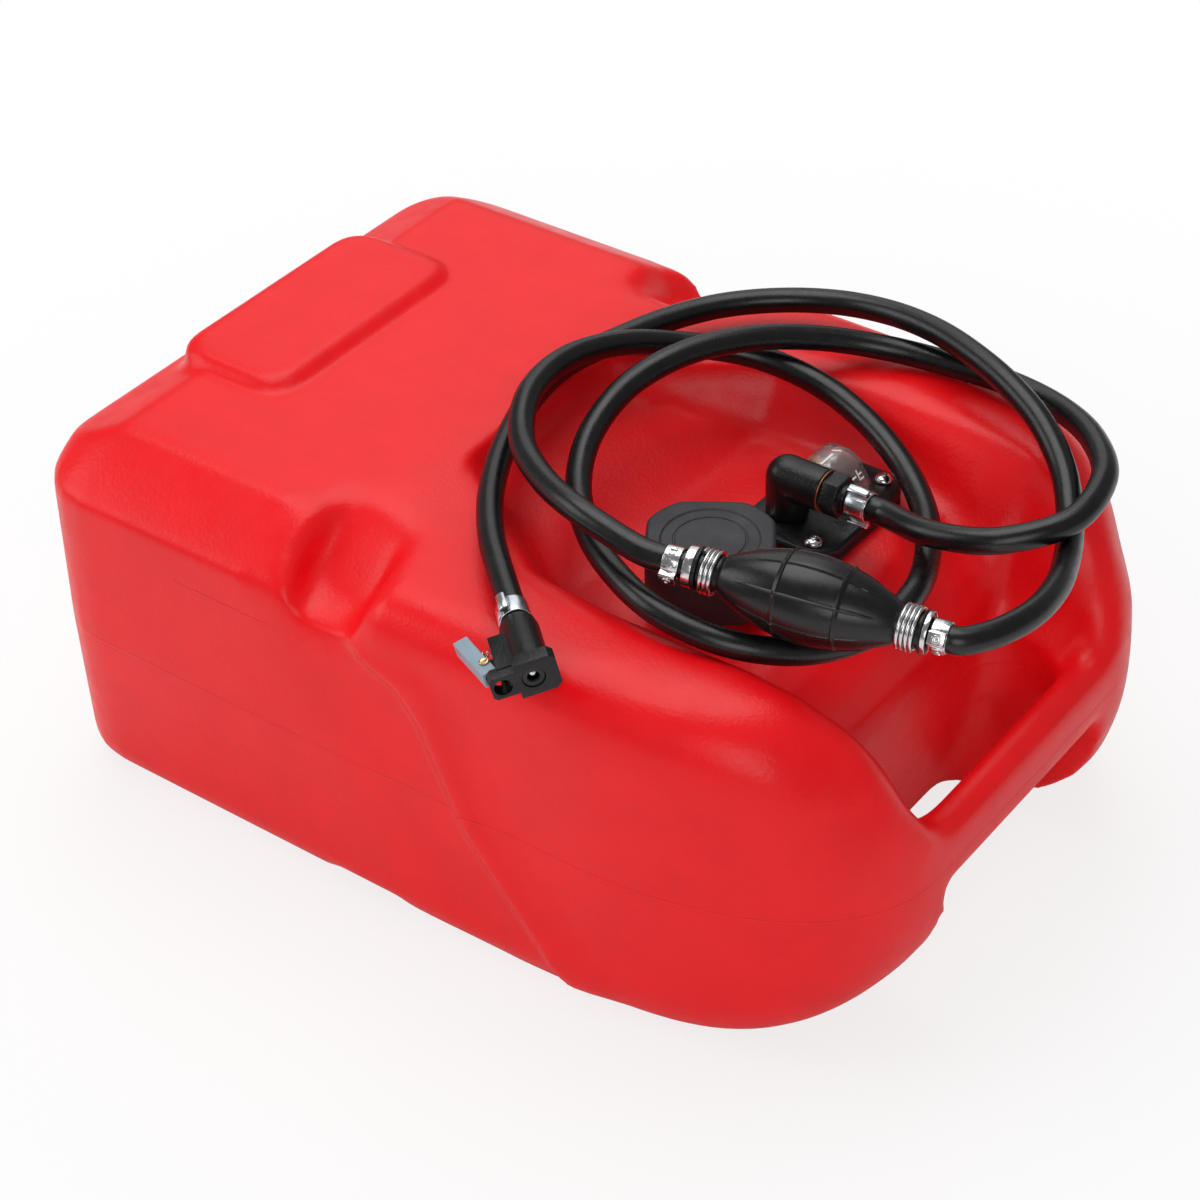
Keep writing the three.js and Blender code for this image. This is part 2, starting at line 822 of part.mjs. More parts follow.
function capGasket() {
  const base = capSeatHeight + seat;
  return sleeve(neck.boreRadius, neck.outerRadius, base, base + cap.gasketThickness, 40);
}

const insertInner = neck.outerRadius + slip;
const insertOuter = insertInner + cap.insertWall;
const insertUnder = capSeatHeight + cap.gasketThickness + seat * 2;
const insertTop = insertUnder + cap.insertRoof;
const capBottom = deckHeight + cap.skirtGap;

function capInsert() {
  return turned([
    [0, insertUnder], [insertInner, insertUnder], [insertInner, capBottom],
    [insertOuter, capBottom], [insertOuter, insertTop], [0, insertTop],
  ], 40);
}

// An angle brought to within half a period of zero.
const wrapped = (angle, period) => angle - period * Math.round(angle / period);

function capGrip() {
  const outline = [];
  const steps = cap.flutes * 12;
  for (let k = 0; k < steps; k += 1) {
    const angle = (2 * Math.PI * k) / steps;
    const offset = wrapped(angle - degrees(cap.fluteTurn), (2 * Math.PI) / cap.flutes);
    const flute = Math.max(0, 1 - (offset / degrees(cap.fluteHalf)) ** 2);
    const radius = cap.radius - cap.edgeRadius - cap.fluteDepth * flute;
    outline.push(new THREE.Vector2(radius * Math.cos(angle), radius * Math.sin(angle)));
  }
  const grip = new THREE.ExtrudeGeometry(new THREE.Shape(outline), {
    depth: cap.height - 2 * cap.edgeRadius,
    bevelThickness: cap.edgeRadius,
    bevelSize: cap.edgeRadius,
    bevelSegments: 1,
  });
  const top = capBottom + cap.height;
  const body = solid(grip.translate(0, 0, capBottom + cap.edgeRadius));
  const bore = insertOuter + slip;
  const ceiling = Math.max(insertTop + slip, top - cap.dialDepth - cap.roof);
  const hollow = turned([
    [0, capBottom - overrun], [bore, capBottom - overrun], [bore, insertTop + slip],
    [bore - cap.wall, ceiling], [0, ceiling],
  ], 40);
  const dial = rod(cap.dialRadius, top - cap.dialDepth, top + overrun, 48);
  const disc = rod(cap.discRadius, top - cap.dialDepth - cap.discDepth, top + overrun, 40);
  return cut(body, hollow, dial, disc);
}

// Fuel head: plate, gasket and screws

const gasketBase = deckHeight + seat;
const plateBase = gasketBase + head.gasketThickness + seat;
const plateTop = plateBase + head.thickness;

function chamferedPlate(shrink) {
  const x = head.depth / 2 - shrink;
  const y = head.width / 2 - shrink;
  const c = head.cornerCut;
  const bend = c * head.cornerBendShare;
  return [
    [x, y - c], [x - bend, y - bend], [x - c, y], [c - x, y], [bend - x, y - bend], [-x, y - c],
    [-x, c - y], [bend - x, bend - y], [c - x, -y], [x - c, -y], [x - bend, bend - y], [x, c - y],
  ].map(([px, py]) => [headX + px, head.y + py]);
}

const headScrewHoles = screwPlaces.map(([x, y]) => (
  moved(rod(screw.shankRadius + seat, deckHeight - overrun, plateTop + overrun, 12), x, y, 0)
));
const pinHeight = plateBase + head.thickness / 2;

function headPlate() {
  const rings = [[plateBase, 0], [plateTop - screw.recessRadius, 0], [plateTop, screw.recessRadius * 0.8]];
  const body = loft(rings.map(([z, shrink]) => (
    chamferedPlate(shrink).map(([x, y]) => new THREE.Vector3(x, y, z))
  )));
  const slot = box(
    [gaugeX - gauge.slotLength / 2, gauge.y - gauge.slotWidth / 2, plateBase - overrun],
    [gaugeX + gauge.slotLength / 2, gauge.y + gauge.slotWidth / 2, plateTop + overrun],
  );
  const half = gauge.pinLength / 2 + seat;
  const pinBore = rod(gauge.pinRadius + seat, -half, half, 12).rotate([90, 0, 0]);
  const spigotBore = rod(elbow.spigotRadius + seat, plateBase - overrun, plateTop + overrun, 20);
  return cut(
    body,
    slot,
    moved(pinBore, gaugeX, gauge.y, pinHeight),
    moved(spigotBore, elbowX, elbow.y, 0),
    ...headScrewHoles,
  );
}

function headGasket() {
  const top = gasketBase + head.gasketThickness;
  return cut(
    prism(chamferedPlate(seat), gasketBase, top),
    prism(headOutline, gasketBase - overrun, top + overrun),
    ...headScrewHoles,
  );
}

function panScrew() {
  const { shankRadius, headRadius, headHeight, length, recessRadius, recessDepth } = screw;
  const under = seat;
  const top = under + headHeight;
  return turned([
    [0, under - length], [shankRadius * 0.5, under - length], [shankRadius, under - length + shankRadius],
    [shankRadius, under], [headRadius, under], [headRadius, under + headHeight * 0.35],
    [headRadius * 0.82, under + headHeight * 0.75], [headRadius * 0.5, top], [recessRadius, top],
    [recessRadius * 0.6, top - recessDepth], [0, top - recessDepth],
  ], 16);
}

// Outlet elbow, its barb and the pick-up tube

const outletHeight = plateTop + seat + elbow.axisRise;

function elbowBody() {
  const base = plateTop + seat;
  const stub = rod(elbow.radius, base, outletHeight, 28);
  const ball = new THREE.SphereGeometry(elbow.radius, 28, 18).rotateX(Math.PI / 2);
  const dome = solid(ball).translate([0, 0, outletHeight]);
  const barrel = rod(elbow.radius, 0, elbow.reach, 28, true).translate([0, 0, outletHeight]);
  const spigot = rod(elbow.spigotRadius, deckHeight - tank.wall - overrun, base + seat, 20);
  return moved(join(stub, dome, barrel, spigot), elbowX, elbow.y, 0);
}

const ringStart = elbowX + elbow.reach + seat;
const nutStart = ringStart + barb.ringThickness + seat;

function elbowRing() {
  return sleeve(elbow.spigotRadius, barb.ringRadius, ringStart, ringStart + barb.ringThickness, 32, true)
    .translate([0, elbow.y, outletHeight]);
}

function barbNut() {
  const radius = barb.nutFlats / Math.sqrt(3);
  const hex = rod(radius, nutStart, nutStart + barb.nutLength, 6, true);
  const neckPiece = rod(barb.neckRadius, nutStart, nutStart + barb.nutLength + barb.neckLength, 24, true);
  return join(hex, neckPiece).translate([0, elbow.y, outletHeight]);
}

const feedStart = nutStart + barb.nutLength + barb.neckLength + seat;
const spigotEnd = deckHeight - tank.wall - overrun;
const strainerBase = tank.wall + pickup.floorGap;

function pickupTube() {
  const low = strainerBase + pickup.strainerHeight / 2;
  return moved(sleeve(pickup.bore, pickup.radius, low, spigotEnd - seat, 16), elbowX, elbow.y, 0);
}

function pickupStrainer() {
  const { strainerRadius, strainerHeight, strainerWall, radius } = pickup;
  const top = strainerBase + strainerHeight;
  const shelf = strainerBase + strainerHeight / 2 - seat;
  const bore = radius + seat;
  const room = strainerRadius - strainerWall;
  return moved(turned([
    [0, strainerBase], [strainerRadius, strainerBase],
    [strainerRadius, top - strainerWall], [bore + strainerWall, top],
    [bore, top], [bore, shelf], [room, shelf],
    [room, strainerBase + strainerWall], [0, strainerBase + strainerWall],
  ], 20), elbowX, elbow.y, 0);
}

// Float gauge: lens, pointer, pin, arm and float

function archOutline(shrink) {
  const half = gauge.lensLength / 2 - shrink;
  const top = gauge.lensHeight - shrink;
  const [shoulder, ridge] = gauge.facetShares;
  return [
    [half, 0], [half, top * 0.36], [half * shoulder, top * 0.86], [half * ridge, top],
    [-half * ridge, top], [-half * shoulder, top * 0.86], [-half, top * 0.36], [-half, 0],
  ];
}

function gaugeLens() {
  const base = plateTop + seat;
  const half = gauge.lensWidth / 2;
  const { lensWall, flangeWidth, flangeThickness, lensLength } = gauge;
  const dome = sidePrism(archOutline(0), -half, half);
  const roomOutline = archOutline(lensWall).map(([x, z]) => [x, z > 0 ? z : -overrun]);
  const room = sidePrism(roomOutline, lensWall - half, half - lensWall);
  const flange = box(
    [-lensLength / 2 - flangeWidth, -half - flangeWidth / 2, 0],
    [lensLength / 2 + flangeWidth, half + flangeWidth / 2, flangeThickness],
  );
  return moved(cut(join(dome, flange), room), gaugeX, gauge.y, base);
}

// The pointer, arm and float are drawn at the empty mark, in a frame whose origin is the pivot
const pivotTurn = (x, z, angle) => [
  x * Math.cos(degrees(angle)) + z * Math.sin(degrees(angle)),
  z * Math.cos(degrees(angle)) - x * Math.sin(degrees(angle)),
];

function gaugePointer() {
  const { hubRadius, hubWidth, pinRadius, pointerReach, pointerWidth, pointerThickness, emptyAngle } = gauge;
  const hub = sleeve(pinRadius + slip, hubRadius, -hubWidth / 2, hubWidth / 2, 20).rotate([90, 0, 0]);
  const start = hubRadius * 0.8;
  const outline = [
    [-pointerThickness / 2, start], [pointerThickness / 2, start],
    [pointerThickness / 2, pointerReach * 0.72], [pointerThickness * 1.5, pointerReach * 0.8],
    [pointerThickness / 2, pointerReach], [-pointerThickness / 2, pointerReach * 0.9],
  ].map(([x, z]) => pivotTurn(x, z, -emptyAngle));
  return join(hub, sidePrism(outline, -pointerWidth / 2, pointerWidth / 2));
}

const armSide = gauge.hubWidth / 2 + seat + float.eyeWidth / 2;

function wire(points, radius, sides = 8) {
  const path = new THREE.CurvePath();
  for (let k = 0; k < points.length - 1; k += 1) {
    path.add(new THREE.LineCurve3(new THREE.Vector3(...points[k]), new THREE.Vector3(...points[k + 1])));
  }
  const parts = path.curves.map((line) => {
    const length = line.getLength();
    const turn = new THREE.Quaternion().setFromUnitVectors(
      new THREE.Vector3(0, 0, 1),
      line.v2.clone().sub(line.v1).normalize(),
    );
    const bar = new THREE.CylinderGeometry(radius, radius, length, sides).rotateX(Math.PI / 2);
    bar.translate(0, 0, length / 2).applyQuaternion(turn);
    return solid(bar.translate(line.v1.x, line.v1.y, line.v1.z));
  });
  const knees = points.slice(1, -1).map((p) => (
    solid(new THREE.SphereGeometry(radius, sides, 6).rotateX(Math.PI / 2)).translate(p)
  ));
  return join(...parts, ...knees);
}

const swing = degrees(float.swing);
const floatLow = tank.wall + float.floorGap + float.radius;
const floatReach = (pinHeight - floatLow - float.reachDrop * Math.cos(swing)) / Math.sin(swing);
const armEnd = pivotTurn(-floatReach, -float.reachDrop, -float.swing);
const armKnee = pivotTurn(-float.dropBack, -float.drop, -float.swing);
const floatStart = armSide + float.wireRadius + slip;

function floatArm() {
  const eyeStart = armSide - float.eyeWidth / 2;
  const eye = sleeve(gauge.pinRadius + slip, float.eyeRadius, eyeStart, eyeStart + float.eyeWidth, 16)
    .rotate([90, 0, 0]);
  const hold = float.eyeRadius * 0.75 / Math.hypot(...armKnee);
  const bar = wire([
    [armKnee[0] * hold, armSide, armKnee[1] * hold],
    [armKnee[0], armSide, armKnee[1]],
    [armEnd[0], armSide, armEnd[1]],
    [armEnd[0], floatStart + float.width + float.wireRadius, armEnd[1]],
  ], float.wireRadius);
  return join(eye.translate([0, 2 * armSide, 0]), bar);
}

function floatBody() {
  const low = floatStart;
  const { radius, width, wireRadius } = float;
  const round = radius * 0.12;
  return turned([
    [wireRadius + seat, low], [radius - round, low], [radius, low + round],
    [radius, low + width - round], [radius - round, low + width], [wireRadius + seat, low + width],
    [wireRadius + seat, low],
  ], 20).rotate([-90, 0, 0]).translate([armEnd[0], 0, armEnd[1]]);
}

// Hoses and clamps

function hoseBody(points) {
  const curve = new THREE.CatmullRomCurve3(points.map((p) => new THREE.Vector3(...p)), false, 'centripetal');
  const section = new THREE.Shape();
  for (let k = 0; k < hose.sides; k += 1) {
    const angle = (2 * Math.PI * k) / hose.sides;
    const [x, y] = [hose.radius * Math.cos(angle), hose.radius * Math.sin(angle)];
    if (k === 0) section.moveTo(x, y);
    else section.lineTo(x, y);
  }
  const steps = Math.round(curve.getLength() / hose.stepLength);
  const tube = new THREE.ExtrudeGeometry(section, { steps, extrudePath: curve, bevelEnabled: false });
  return solid(tube);
}

// A band round the hose with one or two crimped ears, along +X from zero.
function earClamp(ears, width) {
  const inner = hose.radius + seat;
  const outer = inner + clamp.thickness;
  const band = sleeve(inner, outer, 0, width, 28, true);
  const tops = ears.map((angle) => {
    const half = clamp.earWidth / 2;
    const rise = outer + clamp.earRise;
    const under = inner + clamp.thickness / 2;
    const right = [
      [half * 0.8, under], [half * 0.45, mix(under, rise, 0.4)],
      [half, rise - clamp.earThickness], [half * 0.55, rise],
    ];
    const outline = [...right, ...right.map(([x, z]) => [-x, z]).reverse()];
    return prism(outline, 0, width).rotate([90, 0, 90]).rotate([angle, 0, 0]);
  });
  return join(band, ...tops);
}

// Primer bulb, in a frame along +X whose origin is the middle of the bulb

function bulbProfile(shrink) {
  const outline = [[bulb.neckRadius - shrink, seat - bulbEnds.inlet.lip]];
  const steps = 16;
  for (let k = 0; k <= steps; k += 1) {
    const t = k / steps;
    const swell = Math.sin(Math.PI * t) ** bulb.swellPower;
    const onRib = [bulb.ribRearShare, 1 - bulb.ribFrontShare].some((at) => Math.abs(t - at) < 0.5 / steps);
    const rib = onRib && shrink === 0 ? bulb.ribRise : 0;
    const radius = mix(bulb.neckRadius, bulb.maxRadius, swell) - shrink + rib;
    outline.push([radius, mix(-bulb.bodyRear, bulb.bodyFront, t)]);
  }
  outline.push([bulb.neckRadius - shrink, bulbEnds.outlet.lip - seat]);
  return outline;
}

function primerBulb() {
  const outside = bulbProfile(0);
  const inside = bulbProfile(bulb.wall);
  const first = outside[0][1];
  const last = outside[outside.length - 1][1];
  const neckBore = bulb.neckRadius - bulb.wall;
  const hollow = [
    [0, first - overrun], [neckBore, first - overrun],
    ...inside,
    [neckBore, last + overrun], [0, last + overrun],
  ];
  return cut(turned([[0, first], ...outside, [0, last]], 18, true), turned(hollow, 12, true));
}

// A check valve that plugs one neck. Its seat faces the hose at the inlet and the bulb at the outlet.
function checkValve({ hoseStop, lip, ring }, flowsInwards) {
  const stemRadius = bulb.neckRadius - bulb.wall - seat;
  const end = hoseStop - seat;
  const inner = lip - bulb.stemLength;
  const waist = mix(inner, end, 0.5);
  const cone = bulb.seatBore;
  const bores = flowsInwards
    ? [[bulb.valveBore, inner], [bulb.valveBore, waist], [bulb.seatBore, waist + cone], [bulb.seatBore, end]]
    : [[bulb.seatBore, inner], [bulb.seatBore, waist - cone], [bulb.valveBore, waist], [bulb.valveBore, end]];
  return turned([
    ...bores, [bulb.ringSeatRadius, end], [bulb.ringSeatRadius, end - ring], [bulb.lipRadius, end - ring],
    [bulb.lipRadius, lip], [stemRadius, lip], [stemRadius, inner], bores[0],
  ], 24, true);
}

// The ball rests in the seat's cone.
function valveBall({ hoseStop, lip }, flowsInwards) {
  const waist = mix(lip - bulb.stemLength, hoseStop - seat, 0.5);
  const back = (bulb.ballRadius * 0.6 + slip) * (flowsInwards ? 1 : -1);
  const ball = new THREE.SphereGeometry(bulb.ballRadius, 12, 8).rotateX(Math.PI / 2);
  return solid(ball).translate([waist - back, 0, 0]);
}

// One unbroken tube of wire wound along +X; the least gap to itself is measured on its points.
function coil(name, turns, pitch, radius, wireRadius, stepsPerTurn = coilSteps, sides = 5) {
  const steps = turns * stepsPerTurn;
  const centres = [];
  for (let k = 0; k <= steps; k += 1) {
    const angle = (2 * Math.PI * k) / stepsPerTurn;
    const along = (pitch * k) / stepsPerTurn;
    centres.push(new THREE.Vector3(along, radius * Math.cos(angle), radius * Math.sin(angle)));
  }
  const rings = centres.map((centre, k) => {
    const ahead = centres[Math.min(k + 1, steps)].clone().sub(centres[Math.max(k - 1, 0)]).normalize();
    const out = new THREE.Vector3(0, centre.y, centre.z).normalize();
    const side = ahead.clone().cross(out).normalize();
    return Array.from({ length: sides }, (_, j) => {
      const angle = (2 * Math.PI * j) / sides;
      return centre.clone()
        .addScaledVector(out, wireRadius * Math.cos(angle))
        .addScaledVector(side, wireRadius * Math.sin(angle));
    });
  });
  let least = Infinity;
  centres.forEach((p, i) => centres.slice(i + stepsPerTurn - 1).forEach((q) => {
    least = Math.min(least, p.distanceTo(q) - 2 * wireRadius);
  }));
  console.log(`${name}: least gap between turns ${least.toFixed(2)} mm`);
  return loft(rings);
}

const coilSteps = 8;
const coilRadius = (bulb.neckRadius + seat + bulb.coilWire) / Math.cos(Math.PI / coilSteps);

function endRing({ hoseStop, ring }) {
  const end = hoseStop - seat;
  const inner = bulb.ringSeatRadius + seat;
  return sleeve(inner, inner + bulb.ringThickness, end - ring + seat, end, 32, true);
}

// Quick connector, in a frame along +X whose origin is the middle of the front face

const barrelRear = -connector.flangeThickness - connector.barrelLength;
const tailLength = connector.collarLength - barrelRear;
const leverPivot = {
  x: -connector.flangeThickness - lever.ahead - lever.thickness * Math.sin(degrees(lever.openAngle)) - seat,
  y: -connector.blockReach - lever.pivotGap,
};

function connectorBody() {
  const c = connector;
  const pinSide = c.portSide - c.flangeWidth;
  const lugEdge = pinSide + c.lugWidth;
  const nick = c.flangeThickness * c.nickShare;
  const portEdge = c.portSide - 1.5 * nick;
  const cornerRise = c.flangeHalf - 1.5 * nick;
  const flange = prism([
    [c.portSide, -cornerRise], [c.portSide, cornerRise],
    [portEdge, c.flangeHalf], [lugEdge, c.flangeHalf], [lugEdge, c.lugHalf],
    [pinSide + nick, c.lugHalf], [pinSide, c.lugHalf - nick], [pinSide, nick - c.lugHalf],
    [pinSide + nick, -c.lugHalf], [lugEdge, -c.lugHalf], [lugEdge, -c.flangeHalf],
    [portEdge, -c.flangeHalf],
  ], 0, c.flangeThickness).rotate([90, 0, 90]).translate([-c.flangeThickness, 0, 0]);
  const barrel = turned([
    [0, barrelRear - c.collarLength], [c.collarRadius - nick, barrelRear - c.collarLength],
    [c.collarRadius, barrelRear - c.collarLength + nick], [c.collarRadius, barrelRear],
    [c.barrelRadius, barrelRear + nick],
    [c.barrelRadius, nick - c.flangeThickness], [0, nick - c.flangeThickness],
  ], 28, true);
  const block = box(
    [-c.flangeThickness - c.blockLength, -c.blockReach, -c.blockHalf],
    [nick - c.flangeThickness, 0, c.blockHalf],
  );
  const ears = box(
    [leverPivot.x - lever.pinHead, leverPivot.y - lever.pinHead, -lever.height / 2 + lever.wall + slip],
    [leverPivot.x + lever.pinHead, nick - c.blockReach, lever.height / 2 - lever.wall - slip],
  );
  const portBore = rod(c.portRadius, -c.portDepth, overrun, 24, true);
  const pinHole = rod(c.pinHoleRadius, -c.pinHoleDepth, overrun, 20, true)
    .translate([0, -c.pinHoleOffset, 0]);
  const pivotBore = rod(lever.pinRadius + seat, -lever.height, lever.height, 12);
  return cut(
    join(flange, barrel, block, ears),
    portBore,
    pinHole,
    moved(pivotBore, leverPivot.x, leverPivot.y, 0),
  );
}

// The lever is a channel that is drawn straight and then opened about its pin.
function connectorLever() {
  const { length, height, thickness, wall, ahead, pinRadius, openAngle } = lever;
  const depth = thickness + lever.pivotGap * 0.5;
  const skin = box([ahead - length, -thickness, -height / 2], [ahead, depth - thickness, height / 2]);
  const inside = box(
    [ahead - length + wall, wall - thickness, wall - height / 2],
    [ahead + overrun, depth + overrun, height / 2 - wall],
  );
  const bore = rod(pinRadius + seat, -height, height, 12);
  return cut(skin, inside, bore).rotate([0, 0, openAngle]);
}

function leverPin() {
  const { pinRadius, pinHead, pinHeadHeight, height } = lever;
  const half = height / 2 + seat;
  return turned([
    [0, -half - pinHeadHeight], [pinRadius, -half - pinHeadHeight], [pinRadius, half], [pinHead, half],
    [pinHead, half + pinHeadHeight * 0.6], [pinHead * 0.7, half + pinHeadHeight],
    [pinHead * 0.4, half + pinHeadHeight * 0.7], [0, half + pinHeadHeight * 0.7],
  ], 16);
}

function portBall() {
  const ball = new THREE.SphereGeometry(port.ballRadius, 12, 8).rotateX(Math.PI / 2);
  return solid(ball).translate([-port.ballSetback, 0, 0]);
}

const portSeal = () => sleeve(
  port.ballRadius - slip,
  connector.portRadius - seat,
  -port.sealSetback - port.sealWidth,
  -port.sealSetback,
  24,
  true,
);

// Materials

const finish = (color, roughness, metalness = 0, more = {}) => (
  () => new THREE.MeshStandardMaterial({ color, roughness, metalness, ...more })
);
const finishes = {
  redPlastic: finish('#d9161c', 0.38),
  blackPlastic: finish('#17181a', 0.42),
  capPlastic: finish('#2b2b2f', 0.6),
  rubber: finish('#141416', 0.45),
  sealRubber: finish('#101010', 0.7),
  steel: finish('#c9cbce', 0.25, 1),
  zinc: finish('#bfc8d0', 0.3, 1),
  brass: finish('#b9954a', 0.3, 1),
  copper: finish('#7a4a30', 0.45, 0.6),
  clear: finish('#e8eef0', 0.06, 0, { transparent: true, opacity: 0.35 }),
  yellow: finish('#f0a020', 0.4),
  foam: finish('#2f2f2f', 0.8),
  greyPlastic: finish('#93a5b4', 0.4),
};

// Assembly

const model = new THREE.Group();

function add(parent, name, body, surface) {
  const mesh = new THREE.Mesh(geometryOf(body), surface());
  mesh.name = name;
  parent.add(mesh);
  return mesh;
}

add(model, 'tank_shell', tankShell(), finishes.redPlastic);

const filler = new THREE.Group();
filler.position.set(neckX, neck.y, 0);
model.add(filler);
add(filler, 'cap_gasket', capGasket(), finishes.sealRubber);
add(filler, 'cap_insert', capInsert(), finishes.blackPlastic);
add(filler, 'filler_cap', capGrip(), finishes.capPlastic);

add(model, 'head_gasket', headGasket(), finishes.sealRubber);
add(model, 'head_plate', headPlate(), finishes.blackPlastic);
screwPlaces.forEach(([x, y], k) => {
  add(model, `plate_screw_${k + 1}`, panScrew(), finishes.steel).position.set(x, y, plateTop);
});

add(model, 'fuel_elbow', elbowBody(), finishes.blackPlastic);
add(model, 'elbow_ring', elbowRing(), finishes.copper);
add(model, 'hose_barb', barbNut(), finishes.blackPlastic);
add(model, 'pickup_tube', pickupTube(), finishes.blackPlastic);
add(model, 'pickup_strainer', pickupStrainer(), finishes.brass);

const gaugeGroup = new THREE.Group();
gaugeGroup.position.set(gaugeX, gauge.y, pinHeight);
model.add(gaugeGroup);
add(model, 'gauge_lens', gaugeLens(), finishes.clear);
const gaugePin = rod(gauge.pinRadius, -gauge.pinLength / 2, gauge.pinLength / 2, 12).rotate([90, 0, 0]);
add(gaugeGroup, 'gauge_pin', gaugePin, finishes.steel);
add(gaugeGroup, 'gauge_pointer', gaugePointer(), finishes.yellow);
add(gaugeGroup, 'float_arm', floatArm(), finishes.brass);
add(gaugeGroup, 'fuel_float', floatBody(), finishes.foam);

// Fuel line

function axisGroup(at, towards, roll = 0) {
  const group = new THREE.Group();
  group.position.set(...at);
  const heading = new THREE.Vector3(...towards).normalize();
  const side = new THREE.Vector3(0, 0, 1).cross(heading).normalize();
  const up = heading.clone().cross(side);
  group.quaternion.setFromRotationMatrix(new THREE.Matrix4().makeBasis(heading, side, up));
  group.rotateX(degrees(roll));
  model.add(group);
  return group;
}

const inletAt = new THREE.Vector3(...onRoute(bulbInlet));
const outletAt = new THREE.Vector3(...onRoute(bulbOutlet));
const bulbDirection = outletAt.clone().sub(inletAt).normalize();
const bulbCentre = inletAt.clone().add(outletAt).multiplyScalar(0.5);
const bulbPoint = (along) => bulbCentre.clone().addScaledVector(bulbDirection, along).toArray();
const outletSide = axisGroup(bulbCentre.toArray(), bulbDirection.toArray());
const inletSide = axisGroup(bulbCentre.toArray(), bulbDirection.clone().negate().toArray());

const headingRadians = degrees(connectorHeading);
const connectorAhead = new THREE.Vector3(Math.cos(headingRadians), Math.sin(headingRadians), 0);
const tailAt = new THREE.Vector3(...onRoute(connectorTail));
const connectorPoint = (along) => tailAt.clone().addScaledVector(connectorAhead, along).toArray();

const feedAxis = [0, elbow.y, outletHeight];
const feedPoint = (along) => [feedAxis[0] + feedStart + along, feedAxis[1], feedAxis[2]];
const lead = hose.radius;
const bulbHalf = inletAt.distanceTo(outletAt) / 2;
add(model, 'hose_feed', hoseBody([
  feedPoint(0), feedPoint(lead), feedPoint(2 * lead), feedPoint(3 * lead), ...feedRoute.map(onRoute),
  bulbPoint(-bulbHalf - lead), bulbPoint(-bulbHalf), bulbPoint(-bulbEnds.inlet.hoseStop),
]), finishes.rubber);
add(model, 'hose_delivery', hoseBody([
  bulbPoint(bulbEnds.outlet.hoseStop), bulbPoint(bulbHalf),
  bulbPoint(bulbHalf + lead), bulbPoint(bulbHalf + 2 * lead),
  ...deliveryRoute.map(onRoute),
  ...hose.tailLeads.map((share) => connectorPoint(-share * lead)),
]), finishes.rubber);

const elbowSide = axisGroup(feedPoint(hose.clampSetback), [1, 0, 0]);
add(elbowSide, 'elbow_clamp', earClamp(clamp.elbowEars, clamp.width), finishes.zinc);

add(outletSide, 'primer_bulb', primerBulb(), finishes.rubber);
[['inlet', inletSide], ['outlet', outletSide]].forEach(([end, group]) => {
  const sizes = bulbEnds[end];
  const inwards = end === 'inlet';
  add(group, `${end}_valve`, checkValve(sizes, inwards), finishes.blackPlastic);
  add(group, `${end}_valve_ball`, valveBall(sizes, inwards), finishes.steel);
  add(group, `${end}_ring`, endRing(sizes), finishes.steel);
  const wound = coil(`${end}_coil_clamp`, sizes.coilTurns, bulb.coilPitch, coilRadius, bulb.coilWire);
  add(group, `${end}_coil_clamp`, moved(wound, sizes.coilStart, 0, 0), finishes.steel);
  const band = earClamp(clamp.bulbEars, clamp.bulbWidth);
  add(group, `${end}_hose_clamp`, moved(band, sizes.hoseStop + sizes.clampGap, 0, 0), finishes.steel);
});

const coupling = axisGroup(connectorPoint(tailLength + seat), connectorAhead.toArray(), connector.roll);
add(axisGroup(connectorPoint(-hose.clampSetback - clamp.width), connectorAhead.toArray(), connector.roll),
  'connector_clamp', earClamp(clamp.connectorEars, clamp.width), finishes.zinc);
add(coupling, 'connector_body', connectorBody(), finishes.blackPlastic);
add(coupling, 'port_seal', portSeal(), finishes.brass);
add(coupling, 'port_ball', portBall(), finishes.steel);

const ballRear = -port.ballSetback - port.ballRadius - seat;
const springRoom = ballRear + connector.portDepth - seat;
const springPitch = (springRoom - 2 * spring.portEndGap) / spring.turns;
add(coupling, 'port_spring', moved(
  coil('port_spring', spring.turns, springPitch, spring.portRadius, spring.portWire),
  -connector.portDepth + seat + spring.portEndGap,
  0,
  0,
), finishes.steel);

const pivot = new THREE.Group();
pivot.position.set(leverPivot.x, leverPivot.y, 0);
coupling.add(pivot);
add(pivot, 'connector_lever', connectorLever(), finishes.greyPlastic);
add(pivot, 'lever_pin', leverPin(), finishes.brass);

const springPlace = lever.length * lever.springShare;
const leverInner = lever.wall - lever.thickness;
const opened = degrees(lever.openAngle);
const leverWall = leverPivot.y + leverInner * Math.cos(opened) - springPlace * Math.sin(opened);
const springFoot = leverWall + spring.leverEndGap;
const leverPitch = (-connector.blockReach - seat - spring.leverWire - springFoot) / spring.turns;
const leverCoil = coil('lever_spring', spring.turns, leverPitch, spring.leverRadius, spring.leverWire);
add(coupling, 'lever_spring', leverCoil.rotate([0, 0, 90])
  .translate([leverPivot.x - springPlace, springFoot, 0]), finishes.steel);

export default model;
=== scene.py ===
"""Looks of a portable outboard fuel tank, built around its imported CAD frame. Metres, +Z up."""

import json
import logging
import math
from dataclasses import dataclass, field
from enum import Enum
from typing import Callable, Iterable, Sequence

import bmesh
import bpy
import numpy as np
from mathutils import Matrix, Vector

